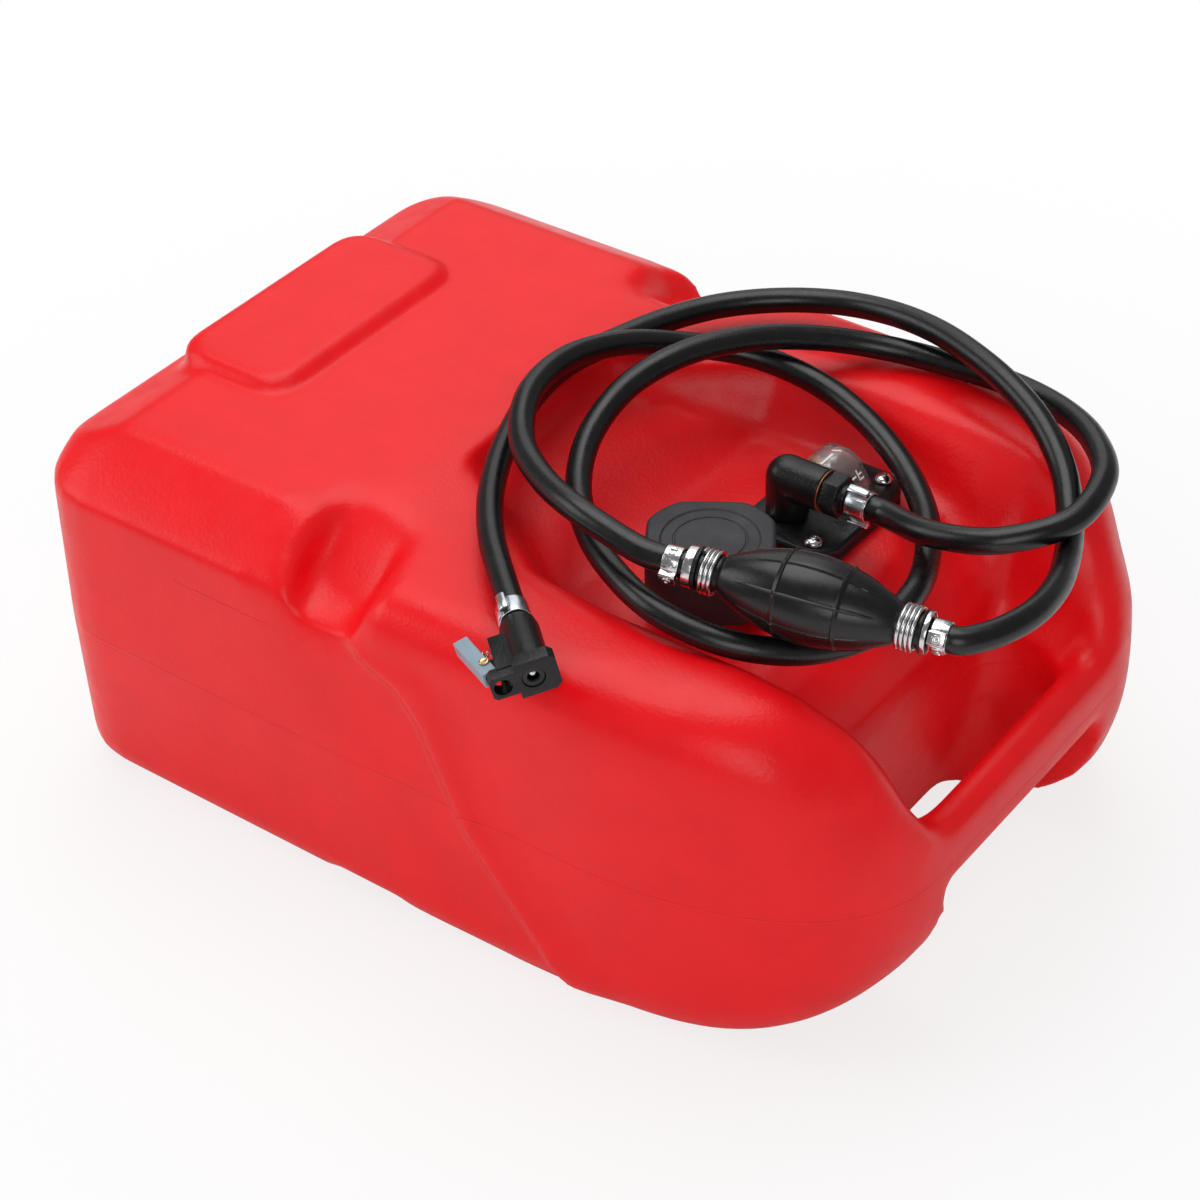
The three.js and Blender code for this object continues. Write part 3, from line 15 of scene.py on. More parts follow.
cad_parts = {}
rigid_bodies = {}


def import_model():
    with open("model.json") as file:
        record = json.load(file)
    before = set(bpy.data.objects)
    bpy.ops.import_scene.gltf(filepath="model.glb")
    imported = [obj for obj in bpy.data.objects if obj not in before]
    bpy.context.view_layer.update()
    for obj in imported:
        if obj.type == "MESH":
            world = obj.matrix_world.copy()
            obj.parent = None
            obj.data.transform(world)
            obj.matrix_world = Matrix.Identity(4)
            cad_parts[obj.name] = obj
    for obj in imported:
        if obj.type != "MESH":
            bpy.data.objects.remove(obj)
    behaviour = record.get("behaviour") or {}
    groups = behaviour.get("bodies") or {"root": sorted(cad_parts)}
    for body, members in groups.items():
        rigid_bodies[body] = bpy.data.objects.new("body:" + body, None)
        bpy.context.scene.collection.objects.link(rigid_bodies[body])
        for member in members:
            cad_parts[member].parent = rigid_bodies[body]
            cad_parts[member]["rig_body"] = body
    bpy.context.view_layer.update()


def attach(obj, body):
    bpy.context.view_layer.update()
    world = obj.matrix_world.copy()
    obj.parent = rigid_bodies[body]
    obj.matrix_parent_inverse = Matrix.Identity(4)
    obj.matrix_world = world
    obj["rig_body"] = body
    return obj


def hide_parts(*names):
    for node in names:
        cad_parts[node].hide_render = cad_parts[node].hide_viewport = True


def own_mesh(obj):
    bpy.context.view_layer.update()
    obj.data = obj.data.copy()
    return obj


LOG = logging.getLogger("fuel_tank")
MM = 0.001

Point = tuple[float, float, float]
Pair = tuple[float, float]
Colour = tuple[float, float, float]

PLATE_SCREWS: tuple[Pair, ...] = ((81.75, 10.25), (111.25, 10.25), (81.75, 73.25), (111.25, 73.25))
FILLER_NECK: Pair = (88.1, -42.9)


class Slot(Enum):
    """Material slots of the record that a piece takes its finish from."""

    RED_PLASTIC = "red_plastic"
    BLACK_PLASTIC = "black_plastic"
    CAP_PLASTIC = "cap_plastic"
    HOSE_RUBBER = "hose_rubber"
    SEAL_RUBBER = "seal_rubber"
    BRIGHT_STEEL = "bright_steel"
    ZINC_STEEL = "zinc_steel"
    BRASS = "brass"
    COPPER = "copper"
    CLEAR_PLASTIC = "clear_plastic"
    POINTER_PLASTIC = "pointer_plastic"
    FLOAT_FOAM = "float_foam"
    LEVER_PLASTIC = "lever_plastic"


# Shader building


class Shader:
    """A node material with one principled shader, and short ways to add texture to it."""

    def __init__(self, name: str) -> None:
        """Starts a material.

        Args:
            name: the material's name.
        """
        self.material = bpy.data.materials.new(name)
        self.material.use_nodes = True
        self.tree = self.material.node_tree
        self.surface = self.tree.nodes["Principled BSDF"]
        self.coordinates = self.tree.nodes.new("ShaderNodeTexCoord").outputs["Object"]

    def set(self, **values: object) -> None:
        """Sets shader sockets; a name's underscores stand for spaces.

        Args:
            values: socket name to value.
        """
        for name, value in values.items():
            self.surface.inputs[name.replace("_", " ")].default_value = value

    def node(self, kind: str, **settings: object) -> bpy.types.Node:
        """Adds a node.

        Args:
            kind: the node's type name.
            settings: attributes set on the node.

        Returns:
            The new node.
        """
        made = self.tree.nodes.new(kind)
        for name, value in settings.items():
            setattr(made, name, value)
        return made

    def link(self, source: bpy.types.NodeSocket, target: bpy.types.NodeSocket) -> None:
        """Joins two sockets."""
        self.tree.links.new(source, target)

    def noise(self, scale: float, detail: float = 2.0, stretch: Point = (1, 1, 1)) -> bpy.types.NodeSocket:
        """A noise pattern on the piece's own coordinates.

        Args:
            scale: waves per metre.
            detail: octaves.
            stretch: scale along each axis.

        Returns:
            The pattern's value socket.
        """
        place = self.node("ShaderNodeMapping")
        place.inputs["Scale"].default_value = stretch
        self.link(self.coordinates, place.inputs["Vector"])
        made = self.node("ShaderNodeTexNoise")
        made.inputs["Scale"].default_value = scale
        made.inputs["Detail"].default_value = detail
        self.link(place.outputs["Vector"], made.inputs["Vector"])
        return made.outputs["Fac"]

    def cells(self, scale: float) -> bpy.types.NodeSocket:
        """A pebbled pattern; returns the distance socket."""
        made = self.node("ShaderNodeTexVoronoi", feature="SMOOTH_F1")
        made.inputs["Scale"].default_value = scale
        made.inputs["Smoothness"].default_value = 1.0
        self.link(self.coordinates, made.inputs["Vector"])
        return made.outputs["Distance"]

    def remap(
        self, value: bpy.types.NodeSocket, low: float, high: float, start: float = 0.3, end: float = 0.7
    ) -> bpy.types.NodeSocket:
        """Maps a pattern from start..end to low..high and returns the socket."""
        made = self.node("ShaderNodeMapRange")
        made.inputs["From Min"].default_value = start
        made.inputs["From Max"].default_value = end
        made.inputs["To Min"].default_value = low
        made.inputs["To Max"].default_value = high
        self.link(value, made.inputs["Value"])
        return made.outputs["Result"]

    def math(self, operation: str, first: bpy.types.NodeSocket, second: object = 0.0) -> bpy.types.NodeSocket:
        """A math node of one or two values; returns its socket."""
        made = self.node("ShaderNodeMath", operation=operation)
        self.link(first, made.inputs[0])
        if isinstance(second, bpy.types.NodeSocket):
            self.link(second, made.inputs[1])
        else:
            made.inputs[1].default_value = second
        return made.outputs[0]

    def axes(self) -> tuple[bpy.types.NodeSocket, ...]:
        """The X, Y and Z sockets of the piece's own coordinates."""
        made = self.node("ShaderNodeSeparateXYZ")
        self.link(self.coordinates, made.inputs[0])
        return tuple(made.outputs)

    def tint(self, scale: float, detail: float, dark: Colour, light: Colour) -> None:
        """Varies the base colour between two colours by a noise pattern.

        Args:
            scale: waves per metre.
            detail: octaves.
            dark: the colour at the pattern's low places.
            light: the colour at its high places.
        """
        made = self.node("ShaderNodeMix", data_type="RGBA")
        made.inputs[6].default_value = (*dark, 1)
        made.inputs[7].default_value = (*light, 1)
        self.link(self.remap(self.noise(scale, detail), 0.0, 1.0), made.inputs[0])
        self.link(made.outputs[2], self.surface.inputs["Base Color"])

    def wear(self, pattern: bpy.types.NodeSocket, low: float, high: float) -> None:
        """Varies the roughness from low to high by a pattern."""
        self.link(self.remap(pattern, low, high), self.surface.inputs["Roughness"])

    def mixed(self, other: bpy.types.NodeSocket, share: float | bpy.types.NodeSocket) -> None:
        """Mixes another shader's share into the surface and ends the material with it."""
        made = self.node("ShaderNodeMixShader")
        if isinstance(share, bpy.types.NodeSocket):
            self.link(share, made.inputs[0])
        else:
            made.inputs[0].default_value = share
        self.link(self.surface.outputs[0], made.inputs[1])
        self.link(other, made.inputs[2])
        self.link(made.outputs[0], self.tree.nodes["Material Output"].inputs["Surface"])

    def bump(self, height: bpy.types.NodeSocket, depth: float, strength: float = 1.0) -> None:
        """Adds relief of a depth in metres on top of what is there already."""
        made = self.node("ShaderNodeBump")
        made.inputs["Strength"].default_value = strength
        made.inputs["Distance"].default_value = depth
        self.link(height, made.inputs["Height"])
        normal = self.surface.inputs["Normal"]
        if normal.links:
            self.link(normal.links[0].from_socket, made.inputs["Normal"])
        self.link(made.outputs["Normal"], normal)


def shaded(colour: Colour, factor: float) -> Colour:
    """A colour made darker or lighter by a factor."""
    return tuple(min(1.0, c * factor) for c in colour)


@dataclass(frozen=True)
class MouldedPlastic:
    """Moulded plastic with fine grain, slight clouding and rubbed patches."""

    name: str
    colour: Colour
    roughness: float
    grain_scale: float = 900.0
    grain_depth: float = 0.00012
    clouding: float = 0.12
    polish: float = 0.1
    gloss: float = 0.38
    cloud_scale: float = 38.0
    rub_scale: float = 90.0

    def shader(self) -> Shader:
        """The finish's shader, open for more detail."""
        made = Shader(self.name)
        made.set(Roughness=self.roughness, Specular_IOR_Level=self.gloss)
        dark, light = (shaded(self.colour, 1 + side * self.clouding) for side in (-1, 1))
        made.tint(self.cloud_scale, 4.0, dark, light)
        made.wear(made.noise(self.rub_scale, 5.0), self.roughness - self.polish, self.roughness + self.polish)
        made.bump(made.cells(self.grain_scale), self.grain_depth)
        return made

    def material(self) -> bpy.types.Material:
        """The finish as a material."""
        return self.shader().material


@dataclass(frozen=True)
class RedTankPlastic(MouldedPlastic):
    """The tank's red polyethylene: pebbled grain, a parting line and a moulded fill mark."""

    parting_height: float = 92 * MM
    line_half: float = 0.7 * MM
    line_rise: float = 0.5 * MM
    mark_height: float = 154.5 * MM
    mark_from: float = -141 * MM
    mark_to: float = -82 * MM
    ripple_scale: float = 26.0
    ripple_depth: float = 0.3 * MM

    def shader(self) -> Shader:
        """The red plastic with its two moulded lines."""
        made = super().shader()
        made.bump(made.noise(self.ripple_scale), self.ripple_depth)
        along, _, height = made.axes()
        self.raise_line(made, height, self.parting_height, self.line_half, None)
        span = made.math("COMPARE", along, (self.mark_from + self.mark_to) / 2)
        span.node.inputs[2].default_value = (self.mark_to - self.mark_from) / 2
        self.raise_line(made, height, self.mark_height, self.line_half * 0.7, span)
        return made

    def raise_line(
        self,
        made: Shader,
        height: bpy.types.NodeSocket,
        level: float,
        half: float,
        mask: bpy.types.NodeSocket | None,
    ) -> None:
        """Raises a level line on the tank's sides.

        Args:
            made: the shader.
            height: the height socket.
            level: the line's height.
            half: half its width.
            mask: where the line is, or None for all round.
        """
        offset = made.math("ABSOLUTE", made.math("SUBTRACT", height, level))
        ridge = made.remap(offset, 1.0, 0.0, 0.0, half)
        made.bump(ridge if mask is None else made.math("MULTIPLY", ridge, mask), self.line_rise, 0.5)


@dataclass(frozen=True)
class ExtrudedRubber:
    """Satin hose rubber with fine dust and faint drawing lines."""

    name: str
    colour: Colour
    roughness: float = 0.27
    smooth_by: float = 0.03
    dull_by: float = 0.06
    grain_depth: float = 0.06 * MM
    ripple_depth: float = 0.08 * MM

    def material(self) -> bpy.types.Material:
        """The finish as a material."""
        made = Shader(self.name)
        made.set(Roughness=self.roughness, Specular_IOR_Level=0.5)
        made.tint(60.0, 5.0, shaded(self.colour, 0.75), shaded(self.colour, 1.5))
        made.wear(made.noise(140.0, 4.0), self.roughness - self.smooth_by, self.roughness + self.dull_by)
        made.bump(made.noise(1600.0, 3.0), self.grain_depth)
        made.bump(made.noise(120.0), self.ripple_depth)
        return made.material


@dataclass(frozen=True)
class PlatedMetal:
    """Plated or turned metal with drawn lines and a soft tarnish."""

    name: str
    colour: Colour
    roughness: float
    drawn: Point = (1, 1, 1)
    tarnish: float = 0.82
    line_depth: float = 0.05 * MM

    def material(self) -> bpy.types.Material:
        """The finish as a material."""
        made = Shader(self.name)
        made.set(Metallic=1.0, Roughness=self.roughness)
        made.tint(220.0, 5.0, shaded(self.colour, self.tarnish), self.colour)
        made.wear(made.noise(1500.0, 3.0, self.drawn), self.roughness * 0.7, self.roughness * 1.5)
        made.bump(made.noise(900.0, 3.0, self.drawn), self.line_depth)
        return made.material


@dataclass(frozen=True)
class ClearPlastic:
    """The gauge's clear window plastic."""

    name: str
    colour: Colour = (0.97, 0.98, 0.98)
    thin_share: float = 0.4
    ripple_depth: float = 0.3 * MM

    def material(self) -> bpy.types.Material:
        """The finish as a material."""
        made = Shader(self.name)
        made.set(Base_Color=(*self.colour, 1), Roughness=0.04, IOR=1.49, Transmission_Weight=0.93)
        made.bump(made.noise(45.0), self.ripple_depth, 0.4)
        made.mixed(made.node("ShaderNodeBsdfTransparent").outputs[0], self.thin_share)
        return made.material


class Finishes:
    """All finishes of the tank, made once."""

    def __init__(self) -> None:
        """Builds every material."""
        recipes = {
            Slot.RED_PLASTIC: RedTankPlastic(
                "red polyethylene", (0.84, 0.004, 0.008), 0.34, 620.0, 0.0001, 0.04, 0.05, 0.3
            ),
            Slot.BLACK_PLASTIC: MouldedPlastic("black nylon", (0.0065, 0.0065, 0.0075), 0.36),
            Slot.CAP_PLASTIC: MouldedPlastic("cap plastic", (0.03, 0.029, 0.034), 0.5, 1400.0, 0.00018),
            Slot.HOSE_RUBBER: ExtrudedRubber("hose rubber", (0.004, 0.004, 0.005)),
            Slot.SEAL_RUBBER: ExtrudedRubber("seal rubber", (0.014, 0.014, 0.014), 0.6),
            Slot.BRIGHT_STEEL: PlatedMetal("bright steel", (0.82, 0.82, 0.83), 0.16),
            Slot.ZINC_STEEL: PlatedMetal("zinc plated steel", (0.78, 0.83, 0.88), 0.2, (1, 1, 8)),
            Slot.BRASS: PlatedMetal("brass", (0.74, 0.56, 0.26), 0.28),
            Slot.COPPER: PlatedMetal("copper washer", (0.42, 0.2, 0.12), 0.42),
            Slot.CLEAR_PLASTIC: ClearPlastic("clear window"),
            Slot.POINTER_PLASTIC: MouldedPlastic("pointer plastic", (0.95, 0.42, 0.02), 0.35, 900.0, 0.00004),
            Slot.FLOAT_FOAM: MouldedPlastic("float foam", (0.035, 0.035, 0.035), 0.8, 500.0, 0.0003),
            Slot.LEVER_PLASTIC: MouldedPlastic("lever enamel", (0.27, 0.35, 0.42), 0.36, 1200.0, 0.00005),
        }
        self.by_slot = {slot: recipe.material() for slot, recipe in recipes.items()}
        self.marks = MouldedPlastic("gauge mark paint", (0.86, 0.86, 0.84), 0.5).material()

    def __getitem__(self, slot: Slot) -> bpy.types.Material:
        """The material of a slot."""
        return self.by_slot[slot]


# Meshes


def linked(name: str, mesh: bpy.types.Mesh) -> bpy.types.Object:
    """Puts a mesh into the scene as a piece at the origin."""
    made = bpy.data.objects.new(name, mesh)
    bpy.context.scene.collection.objects.link(made)
    return made


def mesh_of(name: str, points: np.ndarray, faces: Iterable[Sequence[int]]) -> bpy.types.Mesh:
    """A smooth-shaded mesh from points and faces."""
    mesh = bpy.data.meshes.new(name)
    mesh.from_pydata([tuple(map(float, p)) for p in points], [], [tuple(f) for f in faces])
    mesh.update()
    mesh.shade_smooth()
    return mesh


def evaluated(piece: bpy.types.Object) -> bpy.types.Mesh:
    """The piece's mesh with its modifiers in it."""
    graph = bpy.context.evaluated_depsgraph_get()
    graph.update()
    return bpy.data.meshes.new_from_object(piece.evaluated_get(graph), depsgraph=graph)


def settled(piece: bpy.types.Object) -> None:
    """Turns the piece's modifiers into plain mesh and removes them."""
    mesh = evaluated(piece)
    piece.modifiers.clear()
    piece.data = mesh


def mesh_from(name: str, source: bmesh.types.BMesh) -> bpy.types.Mesh:
    """Writes a working mesh to a new mesh and frees it."""
    mesh = bpy.data.meshes.new(name)
    source.to_mesh(mesh)
    source.free()
    return mesh


def places_of(mesh: bpy.types.Mesh, what: str = "co") -> np.ndarray:
    """The places, or the normals, of a mesh's vertices, one row each."""
    flat = np.zeros(len(mesh.vertices) * 3)
    mesh.vertices.foreach_get(what, flat)
    return flat.reshape(-1, 3)


def put_places(mesh: bpy.types.Mesh, place: np.ndarray) -> None:
    """Moves a mesh's vertices to new places."""
    mesh.vertices.foreach_set("co", place.ravel())
    mesh.update()


def merged_copy(node: str) -> bmesh.types.BMesh:
    """A CAD node's mesh with its loose triangles joined."""
    found = bpy.data.objects[node]
    made = bmesh.new()
    made.from_mesh(found.data)
    bmesh.ops.remove_doubles(made, verts=made.verts, dist=2e-6)
    return made


def lathed(
    name: str,
    profile: Sequence[Pair],
    place: Matrix,
    sides: int,
    radius_at: Callable[[float, float, np.ndarray], np.ndarray] | None = None,
) -> bpy.types.Mesh:
    """Turns a closed outline about local X.

    Args:
        name: the mesh's name.
        profile: (along, radius) pairs in millimetres; one that starts and ends on the axis is a bar, any
            other closes on itself as a ring.
        place: where the local frame goes.
        sides: segments round the axis.
        radius_at: gives the radii round the axis from (along, radius, angles), or None for a round one.

    Returns:
        The mesh, in the row frame.
    """
    angles = np.linspace(0, 2 * math.pi, sides, endpoint=False)
    on_axis = profile[0][1] == 0 and profile[-1][1] == 0
    rows = profile[1:-1] if on_axis else profile
    points = []
    for along, radius in rows:
        radii = np.full(sides, radius) if radius_at is None else radius_at(along, radius, angles)
        points.append(np.stack([np.full(sides, along), radii * np.cos(angles), radii * np.sin(angles)], 1))
    count = len(rows)
    faces = []
    for i in range(count if not on_axis else count - 1):
        k = (i + 1) % count
        for j in range(sides):
            n = (j + 1) % sides
            faces.append((i * sides + j, k * sides + j, k * sides + n, i * sides + n))
    stacked = np.concatenate(points)
    if on_axis:
        stacked = np.vstack([stacked, [[profile[0][0], 0, 0], [profile[-1][0], 0, 0]]])
        first, last = len(stacked) - 2, len(stacked) - 1
        for j in range(sides):
            n = (j + 1) % sides
            faces.append((first, j, n))
            faces.append((last, (count - 1) * sides + n, (count - 1) * sides + j))
    placed = (stacked * MM) @ np.array(place.to_3x3()).T + np.array(place.translation)
    return outward(mesh_of(name, placed, faces))


def outward(mesh: bpy.types.Mesh) -> bpy.types.Mesh:
    """Merges doubles and turns every face outwards."""
    made = bmesh.new()
    made.from_mesh(mesh)
    bmesh.ops.remove_doubles(made, verts=made.verts, dist=1e-7)
    bmesh.ops.recalc_face_normals(made, faces=made.faces)
    made.to_mesh(mesh)
    made.free()
    mesh.update()
    return mesh


def eased(mesh: bpy.types.Mesh, angle: float) -> None:
    """Smooth shading that keeps edges sharper than the angle in degrees."""
    made = bmesh.new()
    made.from_mesh(mesh)
    limit = math.radians(angle)
    for edge in made.edges:
        edge.smooth = len(edge.link_faces) == 2 and edge.calc_face_angle() < limit
    for face in made.faces:
        face.smooth = True
    made.to_mesh(mesh)
    made.free()


def bevelled(piece: bpy.types.Object, round_mm: float, segments: int, angle: float) -> bpy.types.Object:
    """Rounds a piece's edges.

    Args:
        piece: the piece.
        round_mm: how wide its edges are rounded.
        segments: steps across the round.
        angle: edges flatter than this many degrees stay.

    Returns:
        The piece as plain mesh.
    """
    bevel = piece.modifiers.new("soft edges", "BEVEL")
    bevel.width = round_mm * MM
    bevel.segments = segments
    bevel.limit_method = "ANGLE"
    bevel.angle_limit = math.radians(angle)
    bevel.use_clamp_overlap = True
    settled(piece)
    eased(piece.data, 40.0)
    return piece


def refined(node: str, round_mm: float, finishes: Finishes, slot: Slot) -> bpy.types.Object:
    """A CAD node's shape with softened edges, standing for the node.

    Args:
        node: the CAD node.
        round_mm: how wide its edges are rounded.
        finishes: all finishes.
        slot: the record's slot of its finish.

    Returns:
        The new piece.
    """
    source = merged_copy(node)
    bmesh.ops.dissolve_limit(source, angle_limit=math.radians(1.0), verts=source.verts, edges=source.edges)
    name = f"{node}_skin"
    piece = bevelled(linked(name, mesh_from(name, source)), round_mm, 3, 32)
    return dressed(piece, finishes[slot], slot, node)


def dressed(
    piece: bpy.types.Object, material: bpy.types.Material, slot: Slot, *nodes: str, body: str = "tank"
) -> bpy.types.Object:
    """Gives a piece its finish and its body, and hides the CAD nodes that it stands for.

    Args:
        piece: the piece.
        material: its finish.
        slot: the record's slot of that finish; not used.
        nodes: the CAD nodes that it replaces; the first one's body carries it.
        body: the CAD body that carries it where it replaces nothing.

    Returns:
        The piece.
    """
    piece.data.materials.clear()
    piece.data.materials.append(material)
    if nodes:
        body = bpy.data.objects[nodes[0]]["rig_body"]
        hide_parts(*nodes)
    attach(piece, body)
    LOG.info("%s: %d faces, on %s", piece.name, len(piece.data.polygons), body)
    return piece


# Geometry node trees


class Tree:
    """A geometry node tree with named inputs."""

    def __init__(self, name: str) -> None:
        """Starts a tree with a geometry input and output."""
        self.group = bpy.data.node_groups.new(name, "GeometryNodeTree")
        self.group.interface.new_socket("Geometry", in_out="INPUT", socket_type="NodeSocketGeometry")
        self.group.interface.new_socket("Geometry", in_out="OUTPUT", socket_type="NodeSocketGeometry")
        self.start = self.group.nodes.new("NodeGroupInput")
        self.end = self.group.nodes.new("NodeGroupOutput")

    def value(self, name: str, kind: str = "NodeSocketFloat") -> bpy.types.NodeSocket:
        """Adds a named input and returns its socket inside the tree."""
        self.group.interface.new_socket(name, in_out="INPUT", socket_type=kind)
        return self.start.outputs[name]

    def node(self, kind: str, **settings: object) -> bpy.types.Node:
        """Adds a node and sets its attributes."""
        made = self.group.nodes.new(kind)
        for name, setting in settings.items():
            setattr(made, name, setting)
        return made

    def link(self, source: bpy.types.NodeSocket, target: bpy.types.NodeSocket) -> None:
        """Joins two sockets."""
        self.group.links.new(source, target)

    def finish(self, geometry: bpy.types.NodeSocket) -> None:
        """Realizes the geometry, shades it smooth, gives it the named material and ends the tree."""
        material = self.value("Material", "NodeSocketMaterial")
        realized = self.node("GeometryNodeRealizeInstances")
        smooth = self.node("GeometryNodeSetShadeSmooth")
        painted = self.node("GeometryNodeSetMaterial")
        self.link(geometry, realized.inputs[0])
        self.link(realized.outputs[0], smooth.inputs[0])
        self.link(smooth.outputs[0], painted.inputs[0])
        self.link(material, painted.inputs["Material"])
        self.link(painted.outputs[0], self.end.inputs[0])

    def applied(self, piece: bpy.types.Object, **inputs: object) -> bpy.types.Object:
        """Runs the tree on a piece and leaves plain mesh.

        Args:
            piece: the object that carries the input geometry.
            inputs: input name, with underscores for spaces, to value.

        Returns:
            The piece, or a mesh object in its place where it was a curve.
        """
        modifier = piece.modifiers.new("form", "NODES")
        modifier.node_group = self.group
        by_name = {
            item.name: item.identifier
            for item in self.group.interface.items_tree
            if item.item_type == "SOCKET" and item.in_out == "INPUT"
        }
        for name, setting in inputs.items():
            modifier[by_name[name.replace("_", " ")]] = setting
        mesh = evaluated(piece)
        name = piece.name
        bpy.data.objects.remove(piece)
        return linked(name, mesh)


def tube_tree() -> Tree:
    """A tree that skins a curve with a round tube."""
    tree = Tree("round tube")
    circle = tree.node("GeometryNodeCurvePrimitiveCircle", mode="RADIUS")
    tree.link(tree.value("Sides", "NodeSocketInt"), circle.inputs["Resolution"])
    tree.link(tree.value("Radius"), circle.inputs["Radius"])
    skin = tree.node("GeometryNodeCurveToMesh")
    skin.inputs["Fill Caps"].default_value = True
    tree.link(tree.start.outputs["Geometry"], skin.inputs["Curve"])
    tree.link(circle.outputs["Curve"], skin.inputs["Profile Curve"])
    tree.finish(skin.outputs["Mesh"])
    return tree


def coil_tree() -> Tree:
    """A tree that winds a wire along local Z."""
    tree = Tree("wound wire")
    spiral = tree.node("GeometryNodeCurveSpiral")
    tree.link(tree.value("Steps", "NodeSocketInt"), spiral.inputs["Resolution"])
    tree.link(tree.value("Turns"), spiral.inputs["Rotations"])
    radius = tree.value("Coil Radius")
    tree.link(radius, spiral.inputs["Start Radius"])
    tree.link(radius, spiral.inputs["End Radius"])
    tree.link(tree.value("Height"), spiral.inputs["Height"])
    circle = tree.node("GeometryNodeCurvePrimitiveCircle", mode="RADIUS")
    tree.link(tree.value("Wire Sides", "NodeSocketInt"), circle.inputs["Resolution"])
    tree.link(tree.value("Wire Radius"), circle.inputs["Radius"])
    skin = tree.node("GeometryNodeCurveToMesh")
    skin.inputs["Fill Caps"].default_value = True
    tree.link(spiral.outputs["Curve"], skin.inputs["Curve"])
    tree.link(circle.outputs["Curve"], skin.inputs["Profile Curve"])
    tree.finish(skin.outputs["Mesh"])
    return tree


def scatter_tree() -> Tree:
    """A tree that puts a copy of an object on every point."""
    tree = Tree("copies on points")
    info = tree.node("GeometryNodeObjectInfo", transform_space="ORIGINAL")
    tree.link(tree.value("Copied", "NodeSocketObject"), info.inputs["Object"])
    placed = tree.node("GeometryNodeInstanceOnPoints")
    tree.link(tree.start.outputs["Geometry"], placed.inputs["Points"])
    tree.link(info.outputs["Geometry"], placed.inputs["Instance"])
    tree.finish(placed.outputs["Instances"])
    return tree


# Places


def frame_along(origin: Sequence[float], heading: Sequence[float], roll: float = 0.0) -> Matrix:
    """A frame whose X runs along the heading and whose Z points up before the roll.

    Args:
        origin: in millimetres.
        heading: any length.
        roll: degrees about the heading.

    Returns:
        The frame in the row frame, in metres.
    """
    ahead = Vector(heading).normalized()
    side = Vector((0, 0, 1)).cross(ahead).normalized()
    up = ahead.cross(side)
    turn = Matrix((ahead, side, up)).transposed() @ Matrix.Rotation(math.radians(roll), 3, "X")
    return Matrix.Translation(Vector(origin) * MM) @ turn.to_4x4()


def ramp(share: np.ndarray) -> np.ndarray:
    """A smooth rise from 0 to 1 while the share goes from 0 to 1."""
    held = np.clip(share, 0, 1)
    return held * held * (3 - 2 * held)


def spline(points: Sequence[Point], per_span: int) -> np.ndarray:
    """The same centripetal curve that the CAD hose follows.

    Args:
        points: the route in millimetres.
        per_span: samples between two points.

    Returns:
        The samples in millimetres.
    """
    route = np.array(points, float)
    ends = np.vstack([2 * route[0] - route[1], route, 2 * route[-1] - route[-2]])
    samples = []
    for a, b, c, d in zip(ends[:-3], ends[1:-2], ends[2:-1], ends[3:]):
        before, here, after = (float(np.sum((q - p) ** 2)) ** 0.25 for p, q in ((a, b), (b, c), (c, d)))
        start = ((b - a) / before - (c - a) / (before + here) + (c - b) / here) * here
        stop = ((c - b) / here - (d - b) / (here + after) + (d - c) / after) * here
        for t in np.linspace(0, 1, per_span, endpoint=False):
            samples.append(
                b + start * t + (3 * (c - b) - 2 * start - stop) * t**2
                + (2 * (b - c) + start + stop) * t**3
            )
    samples.append(route[-1])
    return np.array(samples)


# Tank


